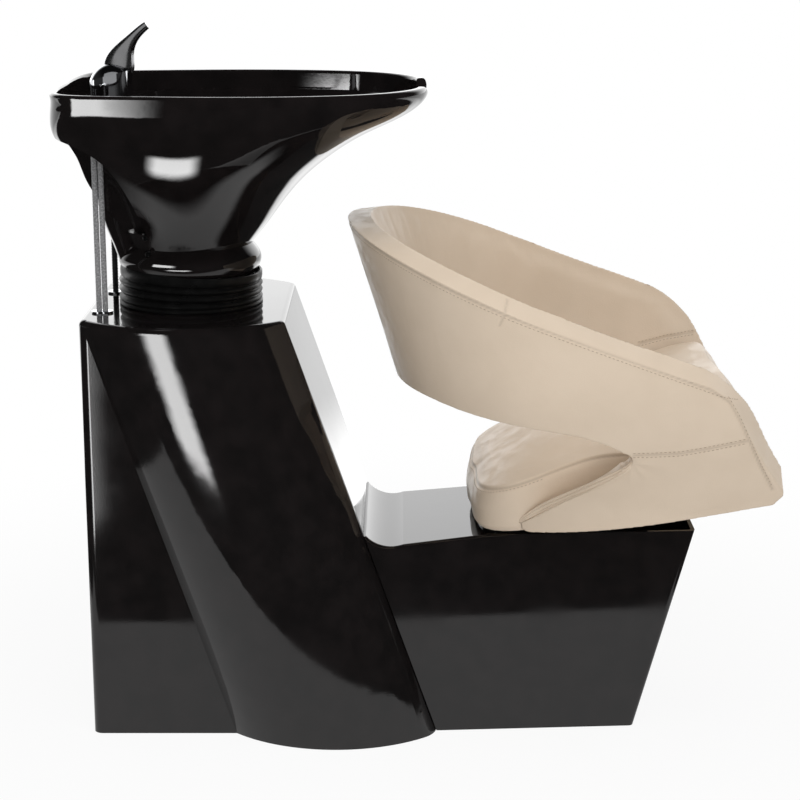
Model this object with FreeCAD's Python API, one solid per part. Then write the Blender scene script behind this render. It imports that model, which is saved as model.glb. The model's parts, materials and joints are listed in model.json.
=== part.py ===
import FreeCAD, Part
import math
import os

# Backwash unit for washing hair: a tilting basin on a column, a bench and a bucket seat.
# Millimetres. x runs from the column's rear face to the seat's front, y across, z up from the floor.

# Clearances and overruns
cut_over = 20.0
soft_gap = 0.3
bolt_gap = 0.4
turn_gap = 0.05
panel_gap = 1.0

# Column shell
deck_height = 653.0
column_half_width = 153.0
deck_length = 304.0
foot_length = 532.0
column_wall = 6.0
column_corner = 14.0
column_foot_corner = 50.0
deck_edge = 9.0
bulge_depth = 63.0
bulge_start_deck = 3.0
bulge_start_foot = 222.0

# Service panel in the column's rear wall
panel_width = 190.0
panel_height = 380.0
panel_bottom = 110.0
panel_thickness = 4.0
panel_corner = 12.0
panel_lip = 16.0
panel_screw_radius = 2.5
panel_screw_head = 5.0

# Bench shell
bench_rear_height = 298.0
bench_slope = 6.0
bench_rear_half = 149.0
bench_front_half = 117.0
bench_top_front = 936.0
bench_foot_front = 840.0
bench_wall = 6.0
bench_sweep = 26.0
bench_edge = 8.0
bench_flange = 36.0
shell_bolt_radius = 4.0
shell_bolt_low = 60.0
shell_bolt_high = 240.0
flange_bolt_share = 0.6

# Steel frames inside the shells
tube = 30.0
tube_wall = 2.5
plate = 6.0
foot_plate = 80.0
foot_plate_thickness = 8.0
pad_thickness = 4.0
anchor_radius = 5.5
rail_height = 80.0
column_leg_rear = 66.0
column_leg_front = 254.0
column_leg_side = 95.0
bench_leg_rear = 640.0
bench_leg_front = 780.0
bench_leg_side = 78.0

# Tilt unit on the deck
neck_x = 153.0
pivot_height = 683.0
tilt_plate = 5.0
tilt_base_radius = 94.0
tilt_hole_radius = 50.0
base_bolt_circle = 78.0
ear_thickness = 6.0
ear_inner = 62.0
ear_radius = 14.0
washer = 2.0
pivot_radius = 6.0
bolt_radius = 4.0
head_rise = 26.0
head_radius = 95.0
head_bolt_circle = 84.0
rest_lean = 3.7

# Bellows
bellows_radius = 110.0
bellows_root = 103.0
bellows_wall = 3.0
bellows_band = 14.0
bellows_folds = 3
bellows_foot = 5.0
ring_height = 9.0
ring_wall = 3.0

# Basin
rim_height = 988.0
basin_rear = -37.0
basin_front = 515.0
basin_half = 237.0
neck_radius = 96.0
neck_height = 746.0
bead_radius = 109.0
bead_height = 723.0
foot_radius = 103.0
foot_flare = 2.0
lip_height = 66.0
rim_wall = 13.0
rim_round = 5.0
ledge_drop = 30.0
ledge_draft = 3.0
bowl_floor = 798.0
floor_thickness = 13.0
neck_bore = 70.0
spine_half = 54.0
recess_round = 32.0
notch_radius = 112.0
notch_depth = 27.0
notch_pitch = 10.0
side_screw_radius = 4.5
side_screw_angle = 57.0

# Drain and waste
drain_x = 177.0
drain_hole = 25.0
drain_flange_radius = 38.0
drain_flange_thickness = 3.0
drain_tube = 23.0
drain_length = 52.0
pipe_radius = 20.0
pipe_wall = 2.0
pipe_end = 598.0
trap_top = 330.0
trap_low = 160.0
trap_high = 210.0
trap_bend = 40.0
trap_over_bend = 36.0
outlet_length = 30.0
coupling_height = 22.0
strainer_radius = 19.0
clip_thickness = 3.0

# Mixer tap
tap_y = -90.0
tap_x = 53.0
tap_radius = 31.0
tap_height = 67.7
dome_radius = 37.0
dome_shift = 5.0
tap_lean = 14.0
shank_x = 28.0
shank_radius = 13.0
shank_length = 48.0
tap_base_radius = 24.0
tap_base_height = 3.0
hose_end = 12.0
tap_nut_radius = 20.0
tap_nut_height = 9.0
holder_nut_radius = 16.5
driver_radius = 9.5
slot_radius = 16.0
stem_radius = 3.6
lever_half = 22.0
lever_wall = 6.0
lever_tip_x = 108.0
lever_tip_z = 1079.0
gasket = 1.5

# Hand shower
shower_y = 64.0
shower_x = 27.0
holder_radius = 19.0
holder_height = 12.0
holder_tail = 11.0
handle_radius = 9.0
handle_height = 34.5
head_reach = 34.0
spray_radius = 25.0
spray_thickness = 4.0
spray_lean = 14.0
inner_hose_radius = 3.9
guide_low = 815.0
sleeve_radius = 4.9
sleeve_bore = 4.3

# Supply hoses, glands and inlets
hose_radius = 4.1
hose_pitch = 9.2
gland_height = 3.0
gland_rim = 7.5
inlet_top = 420.0
inlet_height = 42.0
inlet_width = 74.0
inlet_depth = 34.0
inlet_pitch = 42.0
inlet_radius = 10.45
inlet_length = 15.0

# Seat
seat_rear = 581.0
seat_base_z = 323.0
seat_base_slope = 0.199
cushion_back_z = 390.0
cushion_top_slope = 0.376
cushion_half = 190.0
cushion_front_low = 1048.0
cushion_front_top = 986.0
cushion_wide_low = 238.0
cushion_wide_top = 283.0
cushion_crown = 14.0
board_thickness = 15.0
board_inset = 16.0
riser_half = 138.0
riser_front = 868.0
riser_inset = 5.0
riser_draft = 9.0
riser_wall = 6.0
seat_bolt_rear = 690.0
seat_bolt_front = 800.0
seat_bolt_side = 50.0

# Seat tub
tub_thickness = 40.0
tub_low = 340.0
tub_high = 820.0
tub_foot_rear = 562.0
tub_top_rear = 380.0
tub_foot_centre = 905.0
tub_top_centre = 665.0
tub_foot_half = 274.0
tub_top_half = 351.0
rim_back_z = 805.0
rim_back_x = 391.0
rim_slope = 0.366
rim_drop = 20.0
rim_centre = 665.0
rim_half = 348.0
tub_front = 1075.0
arm_front_x = 989.0
arm_front_z = 522.0
front_slope = 1.57
arm_corner = 75.0
arm_low_x = 637.0
tub_toe_x = 1026.0
tub_toe_z = 425.0
notch_tip_x = 803.0
notch_tip_z = 484.0
notch_tip_height = 24.0
back_bottom_z = 543.0

os.makedirs("parts", exist_ok=True)
Vector = FreeCAD.Vector
up = Vector(0, 0, 1)
across = Vector(0, 1, 0)
along = Vector(1, 0, 0)
solids = {}


def slab(low_x, high_x, low_y, high_y, low_z, high_z):
    """A box between two corners."""
    corner = Vector(low_x, low_y, low_z)
    return Part.makeBox(high_x - low_x, high_y - low_y, high_z - low_z, corner)


def rod(radius, start, end):
    """A round bar between two points."""
    way = end - start
    return Part.makeCylinder(radius, way.Length, start, way)


def hexagon_bar(radius, start, end):
    """A six-sided bar between two points, radius measured across its corners."""
    way = end - start
    turn = FreeCAD.Rotation(up, way)
    corners = []
    for step in range(7):
        angle = math.radians(60 * step)
        flat = Vector(radius * math.cos(angle), radius * math.sin(angle), 0)
        corners.append(start + turn.multVec(flat))
    return Part.Face(Part.makePolygon(corners)).extrude(way)


def bolt(radius, under_head, end, head=None):
    """A hexagon-headed bolt from the underside of its head to its end."""
    way = (end - under_head).normalize()
    height = 0.65 * 2 * radius
    crown = hexagon_bar(head or 1.85 * radius, under_head - way * height, under_head)
    return crown.fuse(rod(radius, under_head, end)).removeSplitter()


def nut(radius, start, end):
    """A hexagon nut between two points on its axis."""
    return hexagon_bar(1.85 * radius, start, end).cut(rod(radius + turn_gap, start, end))


def side_prism(points, half):
    """The outline in x and z, carried across the unit to both sides."""
    loop = [Vector(x, -half, z) for x, z in points]
    loop.append(loop[0])
    return Part.Face(Part.makePolygon(loop)).extrude(Vector(0, 2 * half, 0))


def mirrored(shape):
    """The same shape on the far side."""
    return shape.mirror(Vector(0, 0, 0), across)


def square_tube(start, end):
    """A straight length of square steel tube, hollow, between two points."""
    way = end - start
    turn = FreeCAD.Rotation(up, way)
    shell = None
    for half in (tube / 2, tube / 2 - tube_wall):
        ring = [Vector(-half, -half, 0), Vector(half, -half, 0), Vector(half, half, 0),
                Vector(-half, half, 0)]
        ring.append(ring[0])
        wire = Part.makePolygon([start + turn.multVec(corner) for corner in ring])
        bar = Part.Face(wire).extrude(way)
        shell = bar if shell is None else shell.cut(bar)
    return shell


def save(name, *pieces):
    """Keeps the solids of one node until all are built."""
    found = []
    for piece in pieces:
        found.extend(piece.Solids)
    solids[name] = Part.makeCompound(found)


# Column shell: an upright moulding with a slanting front, and a slanting bulge on each side.

front_lean = (foot_length - deck_length) / deck_height


def column_front(z):
    """How far the column's slanting front stands out at a height."""
    return deck_length + front_lean * (deck_height - z)


def bulge_start(z):
    """Where the side bulge begins at a height."""
    return bulge_start_deck + (bulge_start_foot - bulge_start_deck) * (deck_height - z) / deck_height


def bulge_wire(z, inset, buried):
    """The bulge's outline at a height, closed inside the column."""
    side = -(column_half_width - inset)
    start = bulge_start(z) + inset
    end = column_front(z) - inset * math.hypot(1, front_lean)
    crest = Vector((start + end) / 2, side - bulge_depth, z)
    arc = Part.Arc(Vector(start, side, z), crest, Vector(end, side, z)).toShape()
    inner = [Vector(end, side, z), Vector(end, side + buried, z), Vector(start, side + buried, z),
             Vector(start, side, z)]
    return Part.Wire([arc] + Part.makePolygon(inner).Edges)


def front_corner(body, front, side):
    """The slanting edge between the column's front and one side's bulge."""
    for edge in body.Edges:
        lean = all(abs(v.X - column_front(v.Z) + front) < turn_gap for v in edge.Vertexes)
        if lean and edge.BoundBox.YLength < turn_gap and side * edge.CenterOfMass.y > 0:
            return edge


def column_form(inset, low):
    """The column's solid outer form, drawn in by an inset, down to a low height."""
    top = deck_height - inset
    front = inset * math.hypot(1, front_lean)
    outline = [(inset, low), (inset, top), (column_front(top) - front, top), (column_front(low) - front, low)]
    body = side_prism(outline, column_half_width - inset)
    rear = [edge for edge in body.Edges
            if max(abs(v.X - inset) for v in edge.Vertexes) < turn_gap and edge.BoundBox.YLength < turn_gap]
    body = body.makeFillet(column_corner - inset, rear)
    bulge = Part.makeLoft([bulge_wire(z, inset, column_half_width / 2) for z in (low, top)], True, True)
    body = body.fuse([bulge, mirrored(bulge)]).removeSplitter()
    for side in (-1, 1):
        corner = front_corner(body, front, side)
        radii = (column_corner - inset, column_foot_corner - inset)
        if corner.Vertexes[0].Z < corner.Vertexes[-1].Z:
            radii = radii[::-1]
        body = body.makeFillet(radii[0], radii[1], [corner])
    if inset < deck_edge:
        rim = [edge for edge in body.Edges if edge.BoundBox.ZMin > top - turn_gap]
        body = body.makeFillet(deck_edge - inset, rim)
    return body


def rounded_panel(low_x, high_x, width, bottom, height, corner):
    """A flat panel that stands upright across the column's rear, with round corners."""
    panel = slab(low_x, high_x, -width / 2, width / 2, bottom, bottom + height)
    edges = [edge for edge in panel.Edges
             if abs(edge.BoundBox.XLength - (high_x - low_x)) < turn_gap and
             edge.BoundBox.YLength < turn_gap and edge.BoundBox.ZLength < turn_gap]
    return panel.makeFillet(corner, edges)


panel_screws_at = []
for share in (0, 0.5, 1):
    for side in (-1, 1):
        high = panel_bottom + panel_lip / 2 + share * (panel_height - panel_lip)
        panel_screws_at.append(Vector(0, side * (panel_width - panel_lip) / 2, high))

shell_bolts_at = []
for high in (shell_bolt_low, shell_bolt_high):
    for side in (-1, 1):
        reach = bench_rear_half - bench_wall - flange_bolt_share * bench_flange
        shell_bolts_at.append(Vector(column_front(high), side * reach, high))
front_normal = Vector(1, 0, front_lean).normalize()

gland_spots = [Vector(shank_x - hose_pitch / 2, tap_y, 0), Vector(shank_x + hose_pitch / 2, tap_y, 0)]
shower_spot = Vector(shower_x, shower_y, 0)

column = column_form(0, 0).cut(column_form(column_wall, -cut_over))
backing = slab(column_wall, column_wall + panel_thickness, -panel_width / 2 - panel_lip,
               panel_width / 2 + panel_lip,
               panel_bottom - panel_lip, panel_bottom + panel_height + panel_lip)
column = column.fuse(backing).removeSplitter()
wide = panel_width + 2 * panel_gap
column = column.cut(rounded_panel(-cut_over, panel_thickness, wide, panel_bottom - panel_gap,
                                  panel_height + 2 * panel_gap, panel_corner))
column = column.cut(rounded_panel(-cut_over, column_wall + panel_thickness + cut_over,
                                  panel_width - 2 * panel_lip,
                                  panel_bottom + panel_lip, panel_height - 2 * panel_lip, panel_corner))
for spot in panel_screws_at:
    column = column.cut(rod(panel_screw_radius + turn_gap, spot, spot + along * cut_over))
for spot in shell_bolts_at:
    column = column.cut(rod(shell_bolt_radius + bolt_gap, spot - front_normal * cut_over,
                            spot + front_normal * cut_over))
waste_hole = rod(tilt_hole_radius, Vector(neck_x, 0, deck_height - cut_over),
                 Vector(neck_x, 0, deck_height + cut_over))
column = column.cut(waste_hole)
base_bolts_at = []
for quarter in range(4):
    angle = math.radians(45 + 90 * quarter)
    base_bolts_at.append(Vector(neck_x + base_bolt_circle * math.cos(angle),
                                base_bolt_circle * math.sin(angle), 0))
for spot in base_bolts_at:
    column = column.cut(rod(bolt_radius + bolt_gap, spot + up * (deck_height - cut_over),
                            spot + up * (deck_height + cut_over)))
for spot in gland_spots:
    column = column.cut(rod(hose_radius + bolt_gap, spot + up * (deck_height - cut_over),
                            spot + up * (deck_height + cut_over)))
shower_hole = rod(sleeve_radius + bolt_gap, shower_spot + up * (deck_height - cut_over),
                  shower_spot + up * (deck_height + cut_over))
column = column.cut(shower_hole)
save("column_shell", column)

panel = rounded_panel(0, panel_thickness, panel_width, panel_bottom, panel_height, panel_corner)
screws = []
for spot in panel_screws_at:
    panel = panel.cut(rod(panel_screw_radius + turn_gap, spot - along * cut_over, spot + along * cut_over))
    head = Part.makeSphere(panel_screw_head, spot + along * (0.6 * panel_screw_head), Vector(-1, 0, 0),
                           0, 90, 360)
    head = head.common(slab(-panel_screw_head, 0, -column_half_width, column_half_width, 0, deck_height))
    shank = rod(panel_screw_radius, spot - along * (0.2 * panel_screw_head),
                spot + along * (column_wall + 2 * panel_thickness))
    screws.append(head.fuse(shank).removeSplitter())
save("service_panel", panel)
save("service_screws", *screws)

# Bench shell: a low moulding that narrows to the front, its rear flange against the column.

bench_rise = math.tan(math.radians(bench_slope))
bench_datum = column_front(bench_rear_height)
bench_narrowing = (bench_rear_half - bench_front_half) / (bench_top_front - bench_datum)


def bench_top(x):
    """Height of the bench's sloping top."""
    return bench_rear_height + bench_rise * (x - bench_datum)


def bench_form(inset, low):
    """The bench's solid outer form, drawn in by an inset. Its rear lies on the column."""
    front_slope = (bench_top_front - bench_foot_front) / bench_top(bench_top_front)
    front_in = inset * math.hypot(1, front_slope)
    top_in = inset * math.hypot(1, bench_rise)
    toe = bench_foot_front - front_in + front_slope * low
    brow = bench_top_front - front_in - front_slope * top_in
    reach = 2 * bench_sweep
    sweep_end = Vector(bench_datum + reach, 0, bench_top(bench_datum + reach) - top_in)
    sweep_start = Vector(column_front(bench_rear_height + bench_sweep), 0, bench_rear_height + bench_sweep)
    corner = Vector(bench_datum, 0, bench_rear_height - top_in)
    sweep_middle = corner * 0.5 + (sweep_start + sweep_end) * 0.25
    if inset:
        sweep_start = Vector(column_front(bench_rear_height), 0, bench_rear_height)
        sweep_middle = (sweep_start + sweep_end) * 0.5 - up * (inset / 2)
    rear_low = Vector(column_front(low), 0, low)
    edges = [Part.makeLine(rear_low, sweep_start)]
    edges.append(Part.Arc(sweep_start, sweep_middle, sweep_end).toShape())
    front_high = Vector(brow, 0, bench_top(brow) - top_in)
    front_low = Vector(toe, 0, low)
    edges.append(Part.makeLine(sweep_end, front_high))
    edges.append(Part.makeLine(front_high, front_low))
    edges.append(Part.makeLine(front_low, rear_low))
    side = Part.Face(Part.Wire(edges))
    side.translate(Vector(0, -column_half_width, 0))
    solid = side.extrude(Vector(0, 2 * column_half_width, 0))
    rear_x = bench_datum - cut_over
    front_x = bench_top_front + cut_over
    rear_half = bench_rear_half + bench_narrowing * cut_over - inset
    front_half = bench_front_half - bench_narrowing * cut_over - inset
    plan = [Vector(rear_x, -rear_half, low - cut_over), Vector(front_x, -front_half, low - cut_over),
            Vector(front_x, front_half, low - cut_over), Vector(rear_x, rear_half, low - cut_over)]
    plan.append(plan[0])
    wedge = Part.Face(Part.makePolygon(plan)).extrude(Vector(0, 0, deck_height))
    solid = solid.common(wedge)
    picked = []
    for edge in solid.Edges:
        box = edge.BoundBox
        top_side = box.ZMin > bench_rear_height - 2 * inset - bench_edge and box.XLength > bench_sweep / 2
        long_edge = box.YLength > bench_front_half or box.ZLength > bench_rear_height
        brow_edge = box.XMax > brow - bench_edge and long_edge
        if top_side or brow_edge:
            picked.append(edge)
    return solid.makeFillet(bench_edge - inset / 2, picked)


bench = bench_form(0, 0).cut(bench_form(bench_wall, -cut_over))
flange_half = bench_rear_half - bench_wall / 2
flange_top = bench_rear_height - bench_wall / 2
ring = side_prism([(column_front(0), 0), (column_front(flange_top), flange_top),
                   (column_front(flange_top) + bench_wall, flange_top), (column_front(0) + bench_wall, 0)],
                  flange_half)
window = slab(0, foot_length + cut_over, -flange_half + bench_flange, flange_half - bench_flange, -cut_over,
              flange_top - bench_flange)
bench = bench.fuse(ring.cut(window).common(bench_form(0, 0))).removeSplitter()
blunt_top = bench_rear_height + bench_sweep - bench_wall
bench = bench.cut(slab(0, tub_front, -column_half_width, column_half_width, blunt_top, deck_height))
for spot in shell_bolts_at:
    bench = bench.cut(rod(shell_bolt_radius + bolt_gap, spot - front_normal * cut_over,
                          spot + front_normal * cut_over))
bench_bolt_spots = []
for x in (seat_bolt_rear, seat_bolt_front):
    for side in (-1, 1):
        bench_bolt_spots.append(Vector(x, side * seat_bolt_side, 0))
for spot in bench_bolt_spots:
    bench = bench.cut(rod(bolt_radius + bolt_gap, spot + up * seat_bolt_side, spot + up * deck_height))
save("bench_shell", bench)

joints = []
for spot in shell_bolts_at:
    outside = spot + front_normal * bench_wall
    inside = spot - front_normal * column_wall
    joints.append(bolt(shell_bolt_radius, outside, inside - front_normal * column_wall))
    joints.append(nut(shell_bolt_radius, inside - front_normal * (column_wall * 0.9), inside))
save("shell_bolts", *joints)

# Steel frame in the column: four tube legs on foot plates, rails and a plate under the deck.

plate_top = deck_height - column_wall
foot_top = pad_thickness + foot_plate_thickness


def frame_of(xs, side, heights, rail_z):
    """Four legs at two places along the unit, with rails round them near the floor."""
    pieces = []
    for x in xs:
        for way in (-1, 1):
            foot = Vector(x, way * side, foot_top)
            pieces.append(square_tube(foot, Vector(x, way * side, heights[x])))
            half = foot_plate / 2
            pieces.append(slab(x - half, x + half, way * side - half, way * side + half, pad_thickness,
                               foot_top))
        pieces.append(square_tube(Vector(x, -side + tube / 2, rail_z), Vector(x, side - tube / 2, rail_z)))
    for way in (-1, 1):
        pieces.append(square_tube(Vector(xs[0] + tube / 2, way * side, rail_z),
                                  Vector(xs[1] - tube / 2, way * side, rail_z)))
    return pieces


def anchor_spots(xs, side):
    """The floor anchors, on the inner corner of each foot plate."""
    off = foot_plate / 2 - tube / 2
    return [Vector(xs[0] + off, -side + off, 0), Vector(xs[1] - off, -side + off, 0),
            Vector(xs[0] + off, side - off, 0), Vector(xs[1] - off, side - off, 0)]


def welded(pieces, xs, side):
    """The frame's pieces as one weldment, with its anchor holes."""
    whole = pieces[0].fuse(pieces[1:]).removeSplitter()
    for spot in anchor_spots(xs, side):
        whole = whole.cut(rod(anchor_radius, spot - up * cut_over, spot + up * (foot_top + cut_over)))
    return whole


column_xs = (column_leg_rear, column_leg_front)
column_pieces = frame_of(column_xs, column_leg_side, {x: plate_top - plate for x in column_xs}, rail_height)
top_rear = column_leg_rear - tube / 2
top_front = column_leg_front + tube / 2
top_half = column_leg_side + tube / 2
column_pieces.append(slab(top_rear, top_front, -top_half, top_half, plate_top - plate, plate_top))
column_frame = welded(column_pieces, column_xs, column_leg_side)
column_frame = column_frame.cut(waste_hole)
for spot in base_bolts_at:
    column_frame = column_frame.cut(rod(bolt_radius + bolt_gap, spot + up * (plate_top - cut_over),
                                        spot + up * deck_height))
save("column_frame", column_frame)

# Steel frame in the bench: the same, with a sloping plate under the bench's top.

bench_xs = (bench_leg_rear, bench_leg_front)
bench_drop = bench_wall * math.hypot(1, bench_rise)
plate_drop = plate * math.hypot(1, bench_rise)
leg_reach = bench_top(bench_leg_front + tube)
bench_pieces = frame_of(bench_xs, bench_leg_side, {x: leg_reach for x in bench_xs}, rail_height)
plate_rear = bench_leg_rear - tube / 2
plate_front = bench_leg_front + 2 * tube
plate_half = bench_leg_side + tube / 2


def under_bench(x, drop):
    """Height of a surface a drop below the bench's top."""
    return bench_top(x) - drop


sheet = side_prism([(plate_rear, under_bench(plate_rear, bench_drop + plate_drop)),
                    (plate_front, under_bench(plate_front, bench_drop + plate_drop)),
                    (plate_front, under_bench(plate_front, bench_drop)),
                    (plate_rear, under_bench(plate_rear, bench_drop))], plate_half)
above = side_prism([(0, under_bench(0, bench_drop + plate_drop / 2)),
                    (tub_front, under_bench(tub_front, bench_drop + plate_drop / 2)),
                    (tub_front, deck_height), (0, deck_height)], bench_rear_half)
bench_frame = welded([piece.cut(above) for piece in bench_pieces] + [sheet], bench_xs, bench_leg_side)
for spot in bench_bolt_spots:
    bench_frame = bench_frame.cut(rod(bolt_radius + bolt_gap, spot + up * seat_bolt_side * 2,
                                      spot + up * deck_height))
save("bench_frame", bench_frame)

pads = []
for xs, side in ((column_xs, column_leg_side), (bench_xs, bench_leg_side)):
    anchors = anchor_spots(xs, side)
    for x in xs:
        for way in (-1, 1):
            half = foot_plate / 2
            pad = slab(x - half, x + half, way * side - half, way * side + half, 0, pad_thickness)
            for spot in anchors:
                pad = pad.cut(rod(anchor_radius, spot - up * cut_over, spot + up * cut_over))
            pads.append(pad)
save("floor_pads", *pads)

# Tilt unit: a base with two ears on the deck, a head with two lugs that turns on two shoulder bolts.

neck = Vector(neck_x, 0, 0)
pivot = Vector(neck_x, 0, pivot_height)


def tongue(inner, thickness, low, high, hole):
    """An upright plate with a round end about the pivot, and the pivot's hole."""
    outer = inner + thickness
    post = slab(neck_x - ear_radius, neck_x + ear_radius, inner, outer, min(low, high), max(low, high))
    eye = rod(ear_radius, pivot + across * inner, pivot + across * outer)
    bore = rod(hole, pivot + across * (inner - cut_over), pivot + across * (outer + cut_over))
    return post.fuse(eye).cut(bore)


base_disc = rod(tilt_base_radius, neck + up * deck_height, neck + up * (deck_height + tilt_plate))
base_disc = base_disc.cut(waste_hole)
for spot in base_bolts_at:
    base_disc = base_disc.cut(rod(bolt_radius + bolt_gap, spot + up * deck_height,
                                  spot + up * (deck_height + cut_over)))
ear = tongue(ear_inner, ear_thickness, deck_height, pivot_height, pivot_radius + turn_gap)
tilt_base = base_disc.fuse([ear, mirrored(ear)]).removeSplitter()
save("tilt_base", tilt_base)

base_bolts = []
for spot in base_bolts_at:
    seat = spot + up * (deck_height + tilt_plate)
    under = spot + up * (plate_top - plate)
    base_bolts.append(bolt(bolt_radius, seat, under - up * (3 * bolt_radius)))
    base_bolts.append(nut(bolt_radius, under - up * (2 * bolt_radius), under))
save("tilt_base_bolts", *base_bolts)

lug_inner = ear_inner - washer - ear_thickness
pivots = []
for side in (1, -1):
    head_face = pivot + across * (side * (ear_inner + ear_thickness))
    inner_face = pivot + across * (side * (lug_inner - soft_gap))
    inner_end = pivot + across * (side * (lug_inner - soft_gap - pivot_radius))
    pivots.append(bolt(pivot_radius, head_face, inner_end, 1.6 * pivot_radius))
    pivots.append(hexagon_bar(1.6 * pivot_radius, inner_end,
                              inner_face).cut(rod(pivot_radius + turn_gap, inner_end, inner_face)))
save("pivot_bolts", *pivots)

disc = rod(ear_radius - bolt_gap, pivot + across * (ear_inner - washer + turn_gap),
           pivot + across * ear_inner)
disc = disc.cut(rod(pivot_radius + turn_gap, pivot, pivot + across * bench_rear_half))
save("friction_washers", disc, mirrored(disc))

head_top = pivot_height + head_rise
head_disc = rod(head_radius, neck + up * (head_top - tilt_plate), neck + up * head_top)
head_disc = head_disc.cut(rod(tilt_hole_radius, neck + up * pivot_height, neck + up * (head_top + cut_over)))
lug = tongue(lug_inner, ear_thickness, pivot_height, head_top - tilt_plate, pivot_radius + turn_gap)
tilt_head = head_disc.fuse([lug, mirrored(lug)]).removeSplitter()
head_bolts_at = []
for quarter in range(4):
    angle = math.radians(45 + 90 * quarter)
    head_bolts_at.append(Vector(neck_x + head_bolt_circle * math.cos(angle),
                                head_bolt_circle * math.sin(angle), 0))
head_bolts = []
bolt_holes = []
for spot in head_bolts_at:
    tilt_head = tilt_head.cut(rod(bolt_radius + turn_gap, spot + up * pivot_height,
                                  spot + up * (head_top + cut_over)))
    start = spot + up * (head_top - tilt_plate)
    end = spot + up * (head_top + cut_over)
    head_bolts.append(bolt(bolt_radius, start, end))
    bolt_holes.append(rod(bolt_radius + turn_gap, start, end + up * bolt_gap))
leaning = [tilt_head] + head_bolts + bolt_holes
for piece in leaning:
    piece.rotate(pivot, across, rest_lean)
save("tilt_head", tilt_head)
save("head_bolts", *head_bolts)

# Bellows: a rubber sleeve of round folds between the deck and the basin's foot.

bellows_low = deck_height + soft_gap
bellows_span = head_rise + pivot_height - bellows_low - soft_gap


def bellows_circle(share, radius):
    """A circle of the sleeve, leaning as far as its share of the height says."""
    lean = math.radians(rest_lean * share)
    ring_normal = Vector(math.sin(lean), 0, math.cos(lean))
    arm = bellows_low + share * bellows_span - pivot_height
    centre = pivot + Vector(arm * math.sin(lean), 0, arm * math.cos(lean))
    return Part.Wire(Part.makeCircle(radius, centre, ring_normal))


band_share = bellows_band / bellows_span
foot_share = bellows_foot / bellows_span
fold_share = (1 - band_share - foot_share) / bellows_folds
profile = [(0, bellows_radius), (foot_share, bellows_radius)]
for fold in range(bellows_folds):
    base = foot_share + fold * fold_share
    profile.append((base + 0.25 * fold_share, bellows_root))
    profile.append((base + 0.45 * fold_share, bellows_root))
    profile.append((base + 0.7 * fold_share, bellows_radius))
    profile.append((base + fold_share, bellows_radius))
profile.append((1 - band_share * 0.85, bellows_root))
profile.append((1 - band_share * 0.6, bellows_radius - bellows_wall / 2))
profile.append((1, bellows_radius - bellows_wall / 2))
sleeve = Part.makeLoft([bellows_circle(share, radius) for share, radius in profile], True, True)
core = Part.makeLoft([bellows_circle(share, radius - bellows_wall) for share, radius in profile], True, True)
save("bellows", sleeve.cut(core))

ring_outer = bellows_root - bellows_wall - soft_gap
hoop = rod(ring_outer, neck + up * deck_height, neck + up * (deck_height + ring_height))
hoop = hoop.cut(rod(ring_outer - ring_wall, neck + up * deck_height, neck + up * (deck_height + ring_height)))
save("bellows_ring", hoop)

# Basin: a glazed casting. Its outline at a height is a closed curve through a few shares of its sizes.

basin_outline_shares = ((0, 0), (0.004, 0.5), (0.05, 0.83), (0.2, 0.945), (0.45, 1), (0.7, 0.95),
                        (0.88, 0.77), (0.985, 0.42), (1, 0))
round_outline_shares = ((0, 0), (0.067, 0.5), (0.146, 0.707), (0.29, 0.907), (0.5, 1), (0.71, 0.907),
                        (0.854, 0.707), (0.933, 0.5), (1, 0))


def closed_outline(z, rear, front, half, roundness, slope=0):
    """A closed curve at a height: 0 gives the rim's outline, 1 a round one."""
    near = []
    for square, circle in zip(basin_outline_shares, round_outline_shares):
        x = square[0] + (circle[0] - square[0]) * roundness
        y = square[1] + (circle[1] - square[1]) * roundness
        near.append(Vector(rear + x * (front - rear), -y * half,
                           z + slope * (rear + x * (front - rear) - neck_x)))
    far = [Vector(point.x, -point.y, point.z) for point in near[-2:0:-1]]
    curve = Part.BSplineCurve()
    curve.interpolate(near + far, PeriodicFlag=True)
    return Part.Wire(curve.toShape())


def neck_ring(z, radius):
    """The basin's round foot at a height."""
    return closed_outline(z, neck_x - radius, neck_x + radius, radius, 1)


basin_length = basin_front - basin_rear
rim_drop_shares = (0, 0.085, 0.27, 0.44, 0.577, 0.77, 0.89)
rear_in_shares = (0, 0.007, 0.006, 0.045, 0.065, 0.115, 0.15)
front_in_shares = (0, 0.005, 0.142, 0.261, 0.332, 0.404, 0.443)
half_shares = (0.99, 1, 0.95, 0.83, 0.715, 0.555, 0.465)
round_shares = (0, 0, 0.1, 0.3, 0.5, 0.8, 0.95)
spine_drop_shares = (0.3, 0.4, 0.52, 0.65, 0.78, 0.88, 0.95, 1)
spine_rear_shares = (0.04, 0.056, 0.076, 0.098, 0.118, 0.138, 0.15, 0.165)
spine_half_shares = (1, 1, 1, 0.98, 0.95, 0.92, 0.92, 0.92)
drop = rim_height - neck_height
skirt = []
for row in zip(rim_drop_shares, rear_in_shares, front_in_shares, half_shares, round_shares):
    down, rear_in, front_in, half_share, roundness = row
    skirt.append(closed_outline(rim_height - down * drop, basin_rear + rear_in * basin_length,
                                basin_front - front_in * basin_length, half_share * basin_half, roundness))
skirt.append(neck_ring(neck_height, neck_radius))
outer = Part.makeLoft(skirt, True, False)
rim_edges = [edge for edge in outer.Edges if edge.BoundBox.ZMin > rim_height - turn_gap]
outer = outer.makeFillet(rim_round, rim_edges)
recess_shares = ((0.03, 0), (0.1, 0.07), (0.152, 0.185), (0.187, 0.34), (0.212, 0.52), (0.23, 0.7),
                 (0.245, 0.86))
lip_under = rim_height - lip_height
recess_depth = lip_under - neck_height
curve_points = [Vector(basin_rear + x * basin_length, spine_half, lip_under - z * recess_depth)
                for x, z in recess_shares]
recess_curve = Part.BSplineCurve()
recess_curve.interpolate(curve_points)
behind = basin_rear - cut_over
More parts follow.
